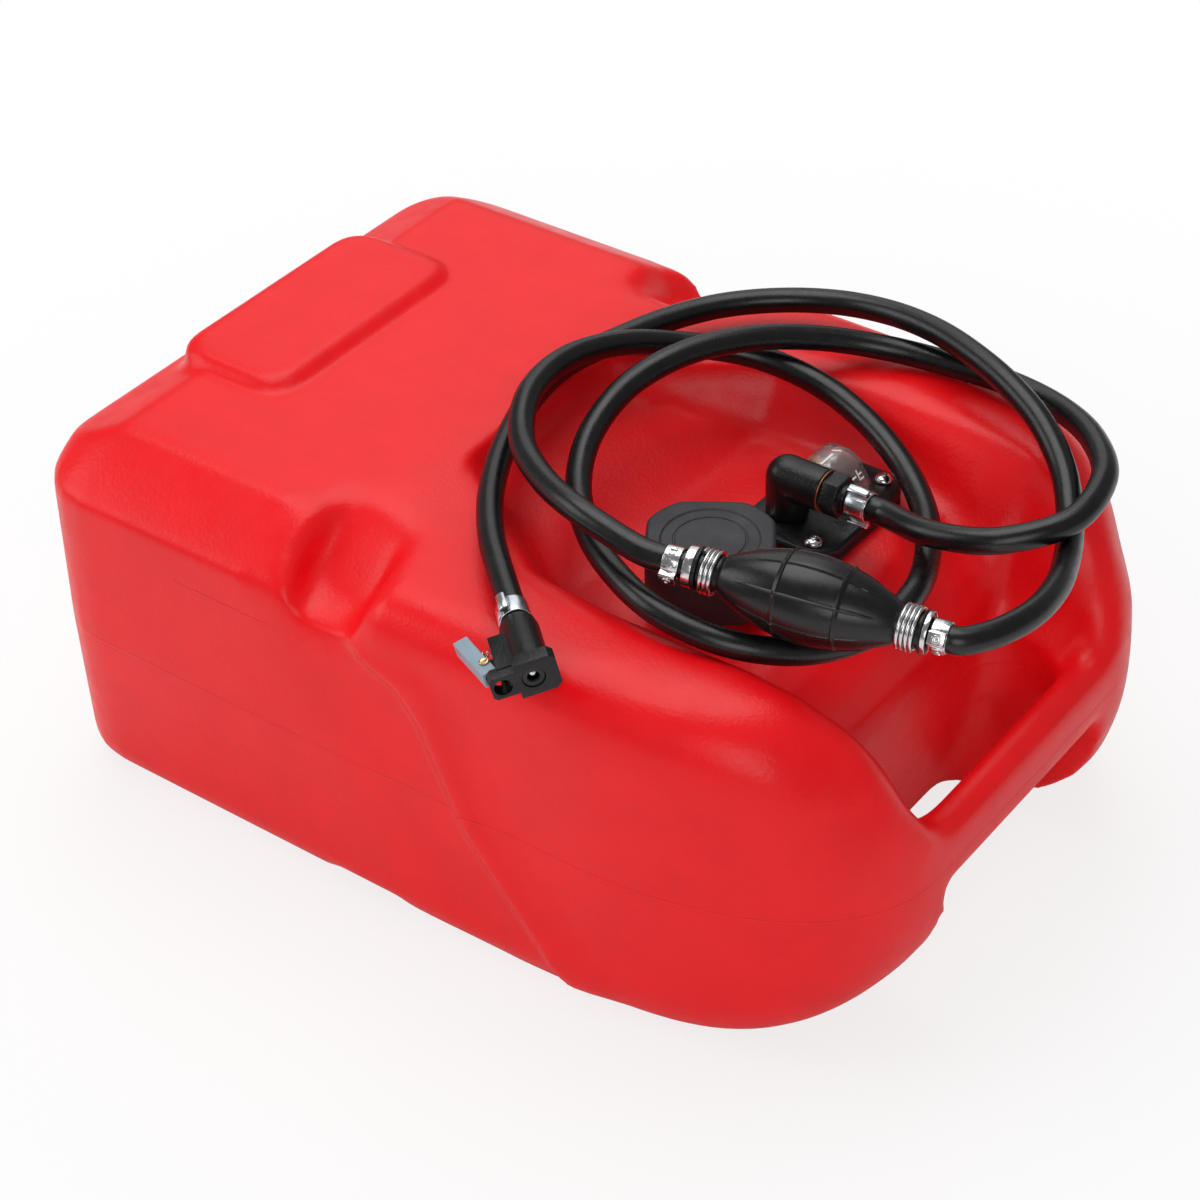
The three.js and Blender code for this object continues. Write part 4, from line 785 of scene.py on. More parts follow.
@dataclass
class TankBody:
    """The moulded tank: the CAD shell with the soft edges that blow moulding gives."""

    voxel: float = 3 * MM
    rounds: int = 44
    calm: float = 0.035
    pocket_calm: float = 0.3
    nose_calm: float = 0.5
    bar_calm: float = 0.07
    neck_calm: float = 0.05
    neck: Point = (*FILLER_NECK, 162)
    neck_reach: float = 30
    bore_radius: float = 17.5
    bore_foot: float = 150
    bore_top: float = 186
    head_hole: Point = (96.5, 41.75, 21)
    head_half_span: float = 6.5
    screw_reach: float = 3.2
    wall_slack: float = 0.6
    nose_from: float = 60.0
    nose_fade: float = 60.0
    flank: float = 108.0
    flank_fade: float = 20.0
    bar_front: float = 205.0
    bar_half: float = 80.0
    bar_foot: float = 66.0
    pocket_span: Pair = (-92.0, -14.0)
    pocket_edge: float = 92.0
    pocket_foot: float = 116.0
    crease: tuple[Pair, ...] = (
        (-18.5, 158.9), (-1.5, 152.6), (12.5, 136.4), (24.5, 109.4),
        (37.5, 80.8), (56.5, 55.6), (75.5, 30.6), (91.5, 7.2),
    )
    lobe_fill: float = 11.0
    lobe_place: float = 208.0
    lobe_reach: float = 46.0
    lobe_inside: float = 62.0
    lobe_inside_fade: float = 20.0
    lobe_outside: float = 152.0
    lobe_outside_fade: float = 40.0
    lobe_foot: float = 116.0
    lobe_foot_fade: float = 34.0
    crease_rise: float = 2.2
    crease_sink: float = 2.0
    crease_lead: float = 2.0
    crease_width: float = 7.0
    swell_fade: float = 34.0
    fall_from: float = 12.0
    fall_fade: float = 60.0
    side_facing: float = 0.55
    side_facing_fade: float = 0.3
    crease_top: float = 170.0
    crease_top_fade: float = 14.0

    def build(self, finishes: Finishes) -> bpy.types.Object:
        """Makes the tank's skin with its chamber and its two openings.

        Args:
            finishes: all finishes.

        Returns:
            The piece that stands for tank_shell.
        """
        outer, inner = self.skins()
        outer = self.remeshed(outer)
        self.soften(outer)
        self.fill_lobes(outer)
        self.sharpen_crease(outer)
        body = bmesh.new()
        body.from_mesh(outer)
        body.from_mesh(inner)
        piece = linked("tank_body", mesh_from("tank_body", body))
        cutters = self.cutters()
        for cutter in cutters:
            opening = piece.modifiers.new("opening", "BOOLEAN")
            opening.operation = "DIFFERENCE"
            opening.solver = "EXACT"
            opening.object = cutter
        settled(piece)
        for cutter in cutters:
            bpy.data.objects.remove(cutter)
        eased(piece.data, 50.0)
        return dressed(piece, finishes[Slot.RED_PLASTIC], Slot.RED_PLASTIC, "tank_shell")

    def in_hole(self, point: Vector) -> bool:
        """Whether a point of the CAD shell lies on the wall of one of its round holes."""
        x, y, z = (c / MM for c in point)
        if z < self.neck[2] - 6:
            return False
        if abs(math.hypot(x - self.neck[0], y - self.neck[1]) - self.bore_radius) < self.wall_slack:
            return True
        if z > self.neck[2] + 1:
            return False
        hole_x, hole_y, radius = self.head_hole
        nearest = min(max(y, hole_y - self.head_half_span), hole_y + self.head_half_span)
        if abs(math.hypot(x - hole_x, y - nearest) - radius) < self.wall_slack:
            return True
        return any(math.hypot(x - sx, y - sy) < self.screw_reach for sx, sy in PLATE_SCREWS)

    def skins(self) -> tuple[bpy.types.Mesh, bpy.types.Mesh]:
        """Splits the CAD shell into closed outer and inner skins.

        Returns:
            The outer skin, faces outwards, and the inner one, faces towards the chamber.
        """
        shell = merged_copy("tank_shell")
        upright = [f for f in shell.faces if abs(f.normal.z) < 0.1]
        walls = [f for f in upright if all(self.in_hole(v.co) for v in f.verts)]
        bmesh.ops.delete(shell, geom=walls, context="FACES")
        rims = [e for e in shell.edges if e.is_boundary]
        bmesh.ops.holes_fill(shell, edges=rims, sides=0)
        bmesh.ops.triangulate(shell, faces=[f for f in shell.faces if len(f.verts) > 4])
        seed = max(shell.verts, key=lambda v: v.co.x)
        outer, front = {seed}, [seed]
        while front:
            for edge in front.pop().link_edges:
                for vertex in edge.verts:
                    if vertex not in outer:
                        outer.add(vertex)
                        front.append(vertex)
        shell.verts.index_update()
        chosen = {v.index for v in outer}
        meshes = []
        for name, wanted in (("outer_skin", True), ("inner_skin", False)):
            part = shell.copy()
            part.verts.ensure_lookup_table()
            gone = [v for v in part.verts if (v.index in chosen) is not wanted]
            bmesh.ops.delete(part, geom=gone, context="VERTS")
            meshes.append(mesh_from(name, part))
        shell.free()
        return meshes[0], meshes[1]

    def remeshed(self, mesh: bpy.types.Mesh) -> bpy.types.Mesh:
        """The outer skin as an even grid of small faces."""
        piece = linked("outer_skin", mesh)
        grid = piece.modifiers.new("even grid", "REMESH")
        grid.mode = "VOXEL"
        grid.voxel_size = self.voxel
        grid.use_smooth_shade = True
        made = evaluated(piece)
        bpy.data.objects.remove(piece)
        return made

    def soften(self, mesh: bpy.types.Mesh) -> None:
        """Rounds the edges by moving each vertex towards its neighbours, most on the nose."""
        count = len(mesh.vertices)
        place = places_of(mesh)
        edges = np.zeros(len(mesh.edges) * 2, np.int64)
        mesh.edges.foreach_get("vertices", edges)
        first, second = edges.reshape(-1, 2).T
        degree = np.bincount(edges, minlength=count)[:, None]
        pull = self.pull_at(place / MM)[:, None]
        for _ in range(self.rounds):
            total = [
                np.bincount(first, place[second, k], count) + np.bincount(second, place[first, k], count)
                for k in range(3)
            ]
            place = place + pull * (np.stack(total, 1) / degree - place)
        put_places(mesh, place)

    def pull_at(self, place: np.ndarray) -> np.ndarray:
        """How strongly each vertex is softened.

        Args:
            place: vertex places in millimetres.

        Returns:
            One strength from 0 to 0.5 for each vertex.
        """
        x, y, z = place.T
        aside = np.abs(y)
        outward_share = (aside - self.flank) / self.flank_fade
        front_share = np.clip((x - self.bar_front) / self.flank_fade, 0, 1)
        nose_share = np.clip((x - self.nose_from) / self.nose_fade, 0, 1)
        nose = nose_share * np.clip(outward_share + front_share, 0, 1)
        pull = self.calm + (self.nose_calm - self.calm) * nose
        on_bar = (aside < self.bar_half) & (x > self.bar_front) & (z > self.bar_foot)
        pull = np.where(on_bar, self.bar_calm, pull)
        rear, front = self.pocket_span
        in_pocket = (x > rear) & (x < front) & (aside > self.pocket_edge) & (z > self.pocket_foot)
        pull = np.where(in_pocket, self.pocket_calm, pull)
        near = np.hypot(x - self.neck[0], y - self.neck[1]) < self.neck_reach
        return np.where(near & (z > self.neck[2] - 8), self.neck_calm, pull)

    def fill_lobes(self, mesh: bpy.types.Mesh) -> None:
        """Swells the inner rims of both front lobes towards the handle's opening."""
        place = places_of(mesh)
        x, y, z = place.T / MM
        lengthwise = ramp(1 - np.abs(x - self.lobe_place) / self.lobe_reach)
        inside = ramp((np.abs(y) - self.lobe_inside) / self.lobe_inside_fade)
        crosswise = inside * ramp((self.lobe_outside - np.abs(y)) / self.lobe_outside_fade)
        upward = ramp((z - self.lobe_foot) / self.lobe_foot_fade)
        place[:, 1] -= np.sign(y) * self.lobe_fill * lengthwise * crosswise * upward * MM
        put_places(mesh, place)

    def sharpen_crease(self, mesh: bpy.types.Mesh) -> None:
        """Sharpens the side panels' front edge: the panel falls back, the body beside it swells."""
        place, facing = places_of(mesh), places_of(mesh, "normal")
        line = np.array(self.crease)
        step = np.diff(line, axis=0)
        offset = place[:, None, [0, 2]] / MM - line[:-1]
        share = np.clip((offset * step).sum(2) / (step**2).sum(1), 0, 1)
        distance = np.linalg.norm(offset - share[..., None] * step, axis=2)
        nearest = distance.argmin(1)
        rows = np.arange(len(place))
        along, reach = step[nearest], offset[rows, nearest]
        turn = along[:, 1] * reach[:, 0] - along[:, 0] * reach[:, 1]
        behind = np.sign(turn) * distance[rows, nearest]
        across = ramp((behind + self.crease_lead) / self.crease_width)
        swell = self.crease_rise * (1 - ramp(-behind / self.swell_fade)) * (1 - across)
        fall = self.crease_sink * (1 - ramp((behind - self.fall_from) / self.fall_fade)) * across
        sideways = ramp((np.abs(facing[:, 1]) - self.side_facing) / self.side_facing_fade)
        on_side = sideways * ramp((self.crease_top - place[:, 2] / MM) / self.crease_top_fade)
        place[:, 1] += np.sign(place[:, 1]) * (swell - fall) * on_side * MM
        put_places(mesh, place)

    def cutters(self) -> list[bpy.types.Object]:
        """The solids that open the filler neck and the hole under the fuel head."""
        count = 64
        angles = np.linspace(0, 2 * math.pi, count, endpoint=False)
        following = [(j + 1) % count for j in range(count)]
        faces = [
            *((j, following[j], count + following[j], count + j) for j in range(count)),
            tuple(range(count - 1, -1, -1)), tuple(range(count, 2 * count)),
        ]
        made = []
        for name, (x, y, radius), half in (
            ("cutter_neck", (self.neck[0], self.neck[1], self.bore_radius), 0.0),
            ("cutter_head", self.head_hole, self.head_half_span),
        ):
            shift = np.where(np.sin(angles) >= 0, half, -half)
            ring = np.stack([x + radius * np.cos(angles), y + radius * np.sin(angles) + shift], 1)
            low, high = (np.column_stack([ring, np.full(count, z)]) for z in (self.bore_foot, self.bore_top))
            made.append(linked(name, mesh_of(name, np.vstack([low, high]) * MM, faces)))
            made[-1].hide_render = True
        return made


# Filler cap


@dataclass
class FillerCap:
    """The fluted grip with its ringed top."""

    bottom: float = 168.0
    top: float = 197.0
    radius: float = 34.0
    flutes: int = 4
    flute_depth: float = 3.2
    flute_half: float = 27.0
    flute_turn: float = 33.0
    flute_band: float = 7.0
    bore: float = 25.4
    bore_top: float = 188.0
    dial_radius: float = 23.5
    dial_depth: float = 0.7
    disc_radius: float = 16.4
    disc_depth: float = 0.5

    def build(self, finishes: Finishes) -> list[bpy.types.Object]:
        """Makes the cap and dresses its hidden parts.

        Args:
            finishes: all finishes.

        Returns:
            The pieces made.
        """
        up = Matrix.Translation(Vector((*FILLER_NECK, 0)) * MM) @ Matrix.Rotation(-math.pi / 2, 4, "Y")
        cap = linked("cap_body", lathed("cap_body", self.outline(), up, 192, self.fluted))
        eased(cap.data, 30.0)
        return [
            dressed(cap, finishes[Slot.CAP_PLASTIC], Slot.CAP_PLASTIC, "filler_cap"),
            refined("cap_insert", 0.5, finishes, Slot.BLACK_PLASTIC),
            refined("cap_gasket", 0.4, finishes, Slot.SEAL_RUBBER),
        ]

    def outline(self) -> list[Pair]:
        """The grip's outline, from its bore's foot over its rim and ringed top to its hollow."""
        top, radius, dial, disc = self.top, self.radius, self.dial_radius, self.disc_radius
        floor = top - self.dial_depth
        groove = floor - 0.45
        return [
            (self.bottom, self.bore), (self.bottom, radius - 2.2), (self.bottom + 0.8, radius - 0.7),
            (self.bottom + 2.2, radius), (top - 2.4, radius), (top - 1.3, radius - 0.25),
            (top - 0.5, radius - 0.85), (top - 0.1, radius - 1.7), (top, radius - 2.8), (top, dial + 0.5),
            (top - 0.3, dial), (floor, dial - 0.5), (floor, disc + 1.6), (groove, disc + 1.2),
            (groove, disc + 0.5), (floor, disc), (floor - self.disc_depth * 0.5, disc * 0.6),
            (floor - self.disc_depth, 0.01), (self.bore_top, 0.01), (self.bore_top, self.bore - 3.0),
            (self.bore_top - 2.0, self.bore),
        ]

    def fluted(self, along: float, radius: float, angles: np.ndarray) -> np.ndarray:
        """The radii round the grip: scallops in its outer wall only.

        Args:
            along: height in millimetres; not used.
            radius: the outline's radius there.
            angles: angles round the axis.

        Returns:
            One radius per angle.
        """
        if radius < self.radius - self.flute_band:
            return np.full(len(angles), radius)
        period = 2 * math.pi / self.flutes
        offset = (angles - math.radians(self.flute_turn) + period / 2) % period - period / 2
        share = np.abs(offset) / math.radians(self.flute_half)
        dip = np.where(share < 0.9, 1 - share**2, 0.19 * np.clip((1.12 - share) / 0.22, 0, 1) ** 2)
        return radius - self.flute_depth * dip * min(1.0, (radius - self.radius + self.flute_band) / 4)


# Fuel head


@dataclass
class FuelHead:
    """The plate with its screws, the outlet elbow and the pickup tube."""

    plate_top: float = 171.2
    screw_gap: float = 0.3
    head_radius: float = 4.6
    head_height: float = 2.7
    elbow_voxel: float = 0.55

    def build(self, finishes: Finishes) -> list[bpy.types.Object]:
        """Makes the head's pieces.

        Args:
            finishes: all finishes.

        Returns:
            The pieces made.
        """
        return [
            refined("head_plate", 1.1, finishes, Slot.BLACK_PLASTIC),
            refined("head_gasket", 0.3, finishes, Slot.SEAL_RUBBER),
            self.elbow_piece(finishes),
            refined("elbow_ring", 0.25, finishes, Slot.COPPER),
            refined("hose_barb", 0.6, finishes, Slot.BLACK_PLASTIC),
            self.screw_piece(finishes[Slot.BRIGHT_STEEL]),
            refined("pickup_tube", 0.2, finishes, Slot.BLACK_PLASTIC),
            refined("pickup_strainer", 0.2, finishes, Slot.BRASS),
        ]

    def elbow_piece(self, finishes: Finishes) -> bpy.types.Object:
        """The elbow: the CAD node's stub, heel and barrel with their joins moulded soft."""
        piece = linked("elbow_body", mesh_from("elbow_body", merged_copy("fuel_elbow")))
        grid = piece.modifiers.new("even grid", "REMESH")
        grid.mode = "VOXEL"
        grid.voxel_size = self.elbow_voxel * MM
        easing = piece.modifiers.new("soft joins", "SMOOTH")
        easing.factor = 0.5
        easing.iterations = 14
        settled(piece)
        eased(piece.data, 60.0)
        return dressed(piece, finishes[Slot.BLACK_PLASTIC], Slot.BLACK_PLASTIC, "fuel_elbow")

    def screw_piece(self, material: bpy.types.Material) -> bpy.types.Object:
        """The four pan-head screws, copied onto their places."""
        height, radius = self.head_height, self.head_radius
        profile = [
            (-16.0, 0), (-15.0, 1.1), (-13.5, 2.1), (0, 2.1), (0, radius - 0.3), (0.35, radius),
            (height * 0.45, radius * 0.93), (height * 0.8, radius * 0.7), (height, radius * 0.4),
            (height - 0.1, 1.45), (height - 1.1, 1.1), (height - 1.3, 0),
        ]
        up = Matrix.Rotation(-math.pi / 2, 4, "Y")
        pattern = linked("screw_pattern", lathed("screw_pattern", profile, up, 36, self.socket))
        eased(pattern.data, 35.0)
        places = [tuple(c * MM for c in (x, y, self.plate_top + self.screw_gap)) for x, y in PLATE_SCREWS]
        points = bpy.data.meshes.new("plate_screws")
        points.from_pydata(places, [], [])
        piece = scatter_tree().applied(linked("plate_screws", points), Copied=pattern, Material=material)
        bpy.data.objects.remove(pattern)
        eased(piece.data, 35.0)
        return dressed(piece, material, Slot.BRIGHT_STEEL, *(f"plate_screw_{k}" for k in range(1, 5)))

    def socket(self, along: float, radius: float, angles: np.ndarray) -> np.ndarray:
        """Radii that make the screw's drive a six-lobed recess."""
        if along > 0.5 and radius < 1.5:
            return radius * (1 + 0.16 * np.cos(6 * angles))
        return np.full(len(angles), radius)


@dataclass
class FloatGauge:
    """The clear window with its painted marks, the pointer, the arm and the float."""

    centre: Pair = (95.5, 49.5)
    base: float = 171.5
    length: float = 34.0
    width: float = 20.0
    height: float = 22.0
    proud: float = 0.12
    mark_width: float = 1.1
    paint_thickness: float = 0.1
    letter_size: float = 5.0
    letter_half_share: float = 0.055
    empty_share: float = 0.14
    full_share: float = 0.86

    def build(self, finishes: Finishes) -> list[bpy.types.Object]:
        """Makes the gauge's pieces.

        Args:
            finishes: all finishes.

        Returns:
            The pieces made.
        """
        return [
            refined("gauge_lens", 0.7, finishes, Slot.CLEAR_PLASTIC),
            refined("gauge_pointer", 0.3, finishes, Slot.POINTER_PLASTIC),
            refined("float_arm", 0.2, finishes, Slot.BRASS),
            refined("fuel_float", 1.0, finishes, Slot.FLOAT_FOAM),
            refined("gauge_pin", 0.15, finishes, Slot.BRIGHT_STEEL),
            self.marks(finishes.marks),
        ]

    def outline(self) -> list[Pair]:
        """The window's outline over its length: (x, z) from its middle and its base."""
        half, top = self.length / 2, self.height
        return [
            (-half, top * 0.36), (-half * 0.62, top * 0.86), (-half * 0.3, top), (half * 0.3, top),
            (half * 0.62, top * 0.86), (half, top * 0.36),
        ]

    def marks(self, paint: bpy.types.Material) -> bpy.types.Object:
        """Painted bars across the window with E, 1/2 and F strokes, as one thin mesh."""
        points, faces = [], []
        for start, end, width in self.letters():
            self.stroke(points, faces, start, end, width)
        piece = linked("gauge_marks", mesh_of("gauge_marks", np.array(points) * MM, faces))
        return dressed(piece, paint, Slot.CLEAR_PLASTIC)

    def letters(self) -> list[tuple[Pair, Pair, float]]:
        """Strokes on the unrolled window: two (share of its outline, y) ends and a width."""
        half, broad, size = self.width / 2, self.mark_width, self.letter_size
        fine, foot = broad * 0.8, half * 0.3
        strokes = [
            ((share, -half * 0.92), (share, half * 0.15), broad)
            for share in (self.empty_share, 0.5, self.full_share)
        ]
        for share, has_foot in ((self.full_share, False), (self.empty_share, True)):
            down, up = share - self.letter_half_share, share + self.letter_half_share
            strokes.append(((down, foot), (up, foot), fine))
            strokes.append(((up, foot), (up, foot + size * 0.7), fine))
            strokes.append(((share, foot), (share, foot + size * 0.6), fine))
            if has_foot:
                strokes.append(((down, foot), (down, foot + size * 0.7), fine))
        strokes.append(((0.46, half * 0.35), (0.54, half * 0.6), broad * 0.7))
        return strokes

    def stroke(
        self, points: list[Point], faces: list[tuple[int, ...]], start: Pair, end: Pair, width: float
    ) -> None:
        """Adds one flat stroke that follows the window's outline.

        Args:
            points: vertices so far, added to.
            faces: faces so far, added to.
            start: share of the outline, and y.
            end: share of the outline, and y.
            width: the stroke's width.
        """
        steps = 12
        outline = self.outline()
        lengths = np.cumsum([0.0, *(math.dist(a, b) for a, b in zip(outline, outline[1:]))])
        total = lengths[-1]
        xs, zs = np.array(outline).T
        ahead = np.array([(end[0] - start[0]) * total, end[1] - start[1]])
        across = np.array([-ahead[1], ahead[0]]) / np.linalg.norm(ahead) * width / 2
        base = len(points)
        for k in range(steps + 1):
            t = k / steps
            for side in (-1, 1):
                s = (start[0] + (end[0] - start[0]) * t) * total + side * across[0]
                y = start[1] + (end[1] - start[1]) * t + side * across[1]
                x, z = (float(np.interp(s, lengths, values)) for values in (xs, zs))
                for lift in (self.proud, self.proud + self.paint_thickness):
                    out = Vector((x * 0.6, 0, z)).normalized() * lift
                    points.append((self.centre[0] + x + out.x, self.centre[1] + y, self.base + z + out.z))
        for k in range(steps):
            a = base + 4 * k
            b = a + 4
            faces.extend([
                (a, a + 2, b + 2, b), (a + 1, b + 1, b + 3, a + 3),
                (a, b, b + 1, a + 1), (a + 2, a + 3, b + 3, b + 2),
            ])
        last = base + 4 * steps
        faces.extend([(base, base + 1, base + 3, base + 2), (last, last + 2, last + 3, last + 1)])


# Fuel line


@dataclass
class FuelLine:
    """Both hose stretches, with the bulb, the connector and all clamps on them."""

    radius: float = 6.5
    tube_sides: int = 28
    samples: int = 12
    feed_start: Point = (122.1, 25.0, 192.0)
    bulb_inlet: Point = (101.2, -94.7, 222.0)
    bulb_outlet: Point = (228.3, -65.2, 215.5)
    inlet_stop: float = 55.8
    outlet_stop: float = 59.0
    connector_tail: Point = (61.8, -156.0, 208.0)
    connector_heading: float = -41.3
    connector_roll: float = 12.0
    setback: float = 0.8
    inlet_gap: float = 2.4
    outlet_gap: float = 0.5
    clamp_width: float = 11.0
    bulb_clamp_width: float = 8.0
    feed_route: list[Point] = field(default_factory=lambda: [
        (172.4, 14.5, 199.7), (206.7, 17.8, 207.8), (230.2, 43.1, 213.3), (227.6, 78.1, 215.3),
        (207.1, 107.2, 211.7), (179, 128.8, 206.2), (145.1, 139.8, 202.9), (109.3, 139.9, 201.9),
        (74.7, 130.8, 204.5), (46.8, 109.5, 211.7), (25.8, 81.3, 218.8), (8.4, 49.9, 220.7),
        (-1.6, 15.8, 216.5), (1.4, -19.1, 209.4), (17.3, -50.8, 204.4), (42.1, -76.7, 202.9),
        (72.1, -96.5, 203.5), (105.7, -108.9, 203.3), (140.3, -104.1, 197.9), (167.4, -81.9, 191),
        (184.2, -50.4, 189.6), (182.3, -15, 187.2), (169.6, 18.2, 181.8), (150.3, 48.4, 180.4),
        (123.6, 72.2, 183.7), (92.1, 88.2, 189.7), (57.6, 95.8, 195.9), (22.7, 91, 202.1),
        (-6.5, 71.6, 208.8), (-26.2, 43.1, 217.8), (-34.2, 8.9, 224.2), (-29.6, -26.6, 225.1),
        (-11, -56.8, 222.5), (17.6, -78.3, 224.1), (50.1, -92.9, 227.2), (85.5, -97.1, 223.4),
    ])
    delivery_route: list[Point] = field(default_factory=lambda: [
        (244.3, -49, 214.3), (249.3, -26, 212.2), (245.9, 1.3, 207.3), (235.9, 30, 201.2),
        (222.4, 57.6, 199.5), (205.1, 81.8, 207.3), (182.1, 100.6, 215.6), (155.4, 115.7, 219.6),
        (127.3, 128.8, 220.2),
        (98.4, 139.9, 218.4), (68.4, 146.6, 214.6), (37.8, 145.5, 210.7), (9.6, 133.4, 208.6),
        (-13.1, 112.5, 208.2), (-28.6, 85.8, 208.2), (-38.7, 56.5, 208.1), (-46, 26.4, 208.3),
        (-43.7, -4.4, 208.2), (-34.3, -33.9, 208.2), (-21.9, -62.3, 208.2), (-6, -88.8, 208.3),
        (13.7, -112.7, 207.8), (36.4, -133.8, 208),
    ])

    def __post_init__(self) -> None:
        """Works out the bulb's and the connector's axes."""
        inlet, outlet = Vector(self.bulb_inlet), Vector(self.bulb_outlet)
        self.bulb_ahead = (outlet - inlet).normalized()
        self.bulb_centre = (inlet + outlet) / 2
        self.bulb_half = (outlet - inlet).length / 2
        turn = math.radians(self.connector_heading)
        self.tail_ahead = Vector((math.cos(turn), math.sin(turn), 0))

    def feed_point(self, along: float) -> Point:
        """A point on the elbow's outlet axis."""
        return (self.feed_start[0] + along, self.feed_start[1], self.feed_start[2])

    def bulb_point(self, along: float) -> Point:
        """A point on the bulb's axis."""
        return tuple(self.bulb_centre + self.bulb_ahead * along)

    def tail_point(self, along: float) -> Point:
        """A point on the connector's axis, from where the hose stops."""
        return tuple(Vector(self.connector_tail) + self.tail_ahead * along)

    def feed_path(self) -> np.ndarray:
        """The centre line from the elbow to the bulb, in millimetres."""
        lead, half = self.radius, self.bulb_half
        return spline([
            *(self.feed_point(k * lead) for k in range(4)), *self.feed_route, self.bulb_point(-half - lead),
            self.bulb_point(-half), self.bulb_point(-self.inlet_stop),
        ], self.samples)

    def delivery_path(self) -> np.ndarray:
        """The centre line from the bulb to the connector, in millimetres."""
        lead, half = self.radius, self.bulb_half
        return spline([
            self.bulb_point(self.outlet_stop), self.bulb_point(half), self.bulb_point(half + lead),
            *self.delivery_route, self.tail_point(-2.5 * lead),
            self.tail_point(-lead), self.tail_point(0),
        ], self.samples)

    def hose(
        self, name: str, node: str, path: np.ndarray, finishes: Finishes, tree: Tree
    ) -> bpy.types.Object:
        """One hose stretch.

        Args:
            name: the piece's name.
            node: the CAD node that it stands for.
            path: its centre line in millimetres.
            finishes: all finishes.
            tree: the tube tree.

        Returns:
            The piece.
        """
        curve = bpy.data.curves.new(name, "CURVE")
        curve.dimensions = "3D"
        line = curve.splines.new("POLY")
        line.points.add(len(path) - 1)
        for point, place in zip(line.points, path):
            point.co = (*(float(c) * MM for c in place), 1)
        holder = bpy.data.objects.new(name, curve)
        bpy.context.scene.collection.objects.link(holder)
        rubber = finishes[Slot.HOSE_RUBBER]
        piece = tree.applied(holder, Sides=self.tube_sides, Radius=self.radius * MM, Material=rubber)
        eased(piece.data, 50.0)
        return dressed(piece, rubber, Slot.HOSE_RUBBER, node)

    def build(self, finishes: Finishes) -> None:
        """Makes the whole line up to the connector.

        Args:
            finishes: all finishes.
        """
        tubes, coils = tube_tree(), coil_tree()
        feed_path, delivery_path = self.feed_path(), self.delivery_path()
        feed = self.hose("feed_hose", "hose_feed", feed_path, finishes, tubes)
        delivery = self.hose("delivery_hose", "hose_delivery", delivery_path, finishes, tubes)
        elbow_clamp = EarClamp("elbow_band", (15.0, 170.0), self.clamp_width).build(
            frame_along(self.feed_point(self.setback), (1, 0, 0)), finishes, Slot.ZINC_STEEL, "elbow_clamp"
        )
        tail = frame_along(
            self.tail_point(-self.setback - self.clamp_width), self.tail_ahead, self.connector_roll
        )
        tail_clamp = EarClamp("connector_band", (20.0,), self.clamp_width).build(
            tail, finishes, Slot.ZINC_STEEL, "connector_clamp"
        )
        for end, heading, start, turn in (
            ("inlet", -self.bulb_ahead, self.inlet_stop + self.inlet_gap, -112.0),
            ("outlet", self.bulb_ahead, self.outlet_stop + self.outlet_gap, 62.0),
        ):
            place = frame_along(self.bulb_centre + heading * start, heading)
            clamp = EarClamp(f"{end}_band", (turn,), self.bulb_clamp_width, hooks=4, screwed=True)
            clamp.build(place, finishes, Slot.BRIGHT_STEEL, f"{end}_hose_clamp")
        on_bulb = PrimerBulb(self).build(finishes, coils)
        on_tail = QuickConnector(self).build(finishes, coils)


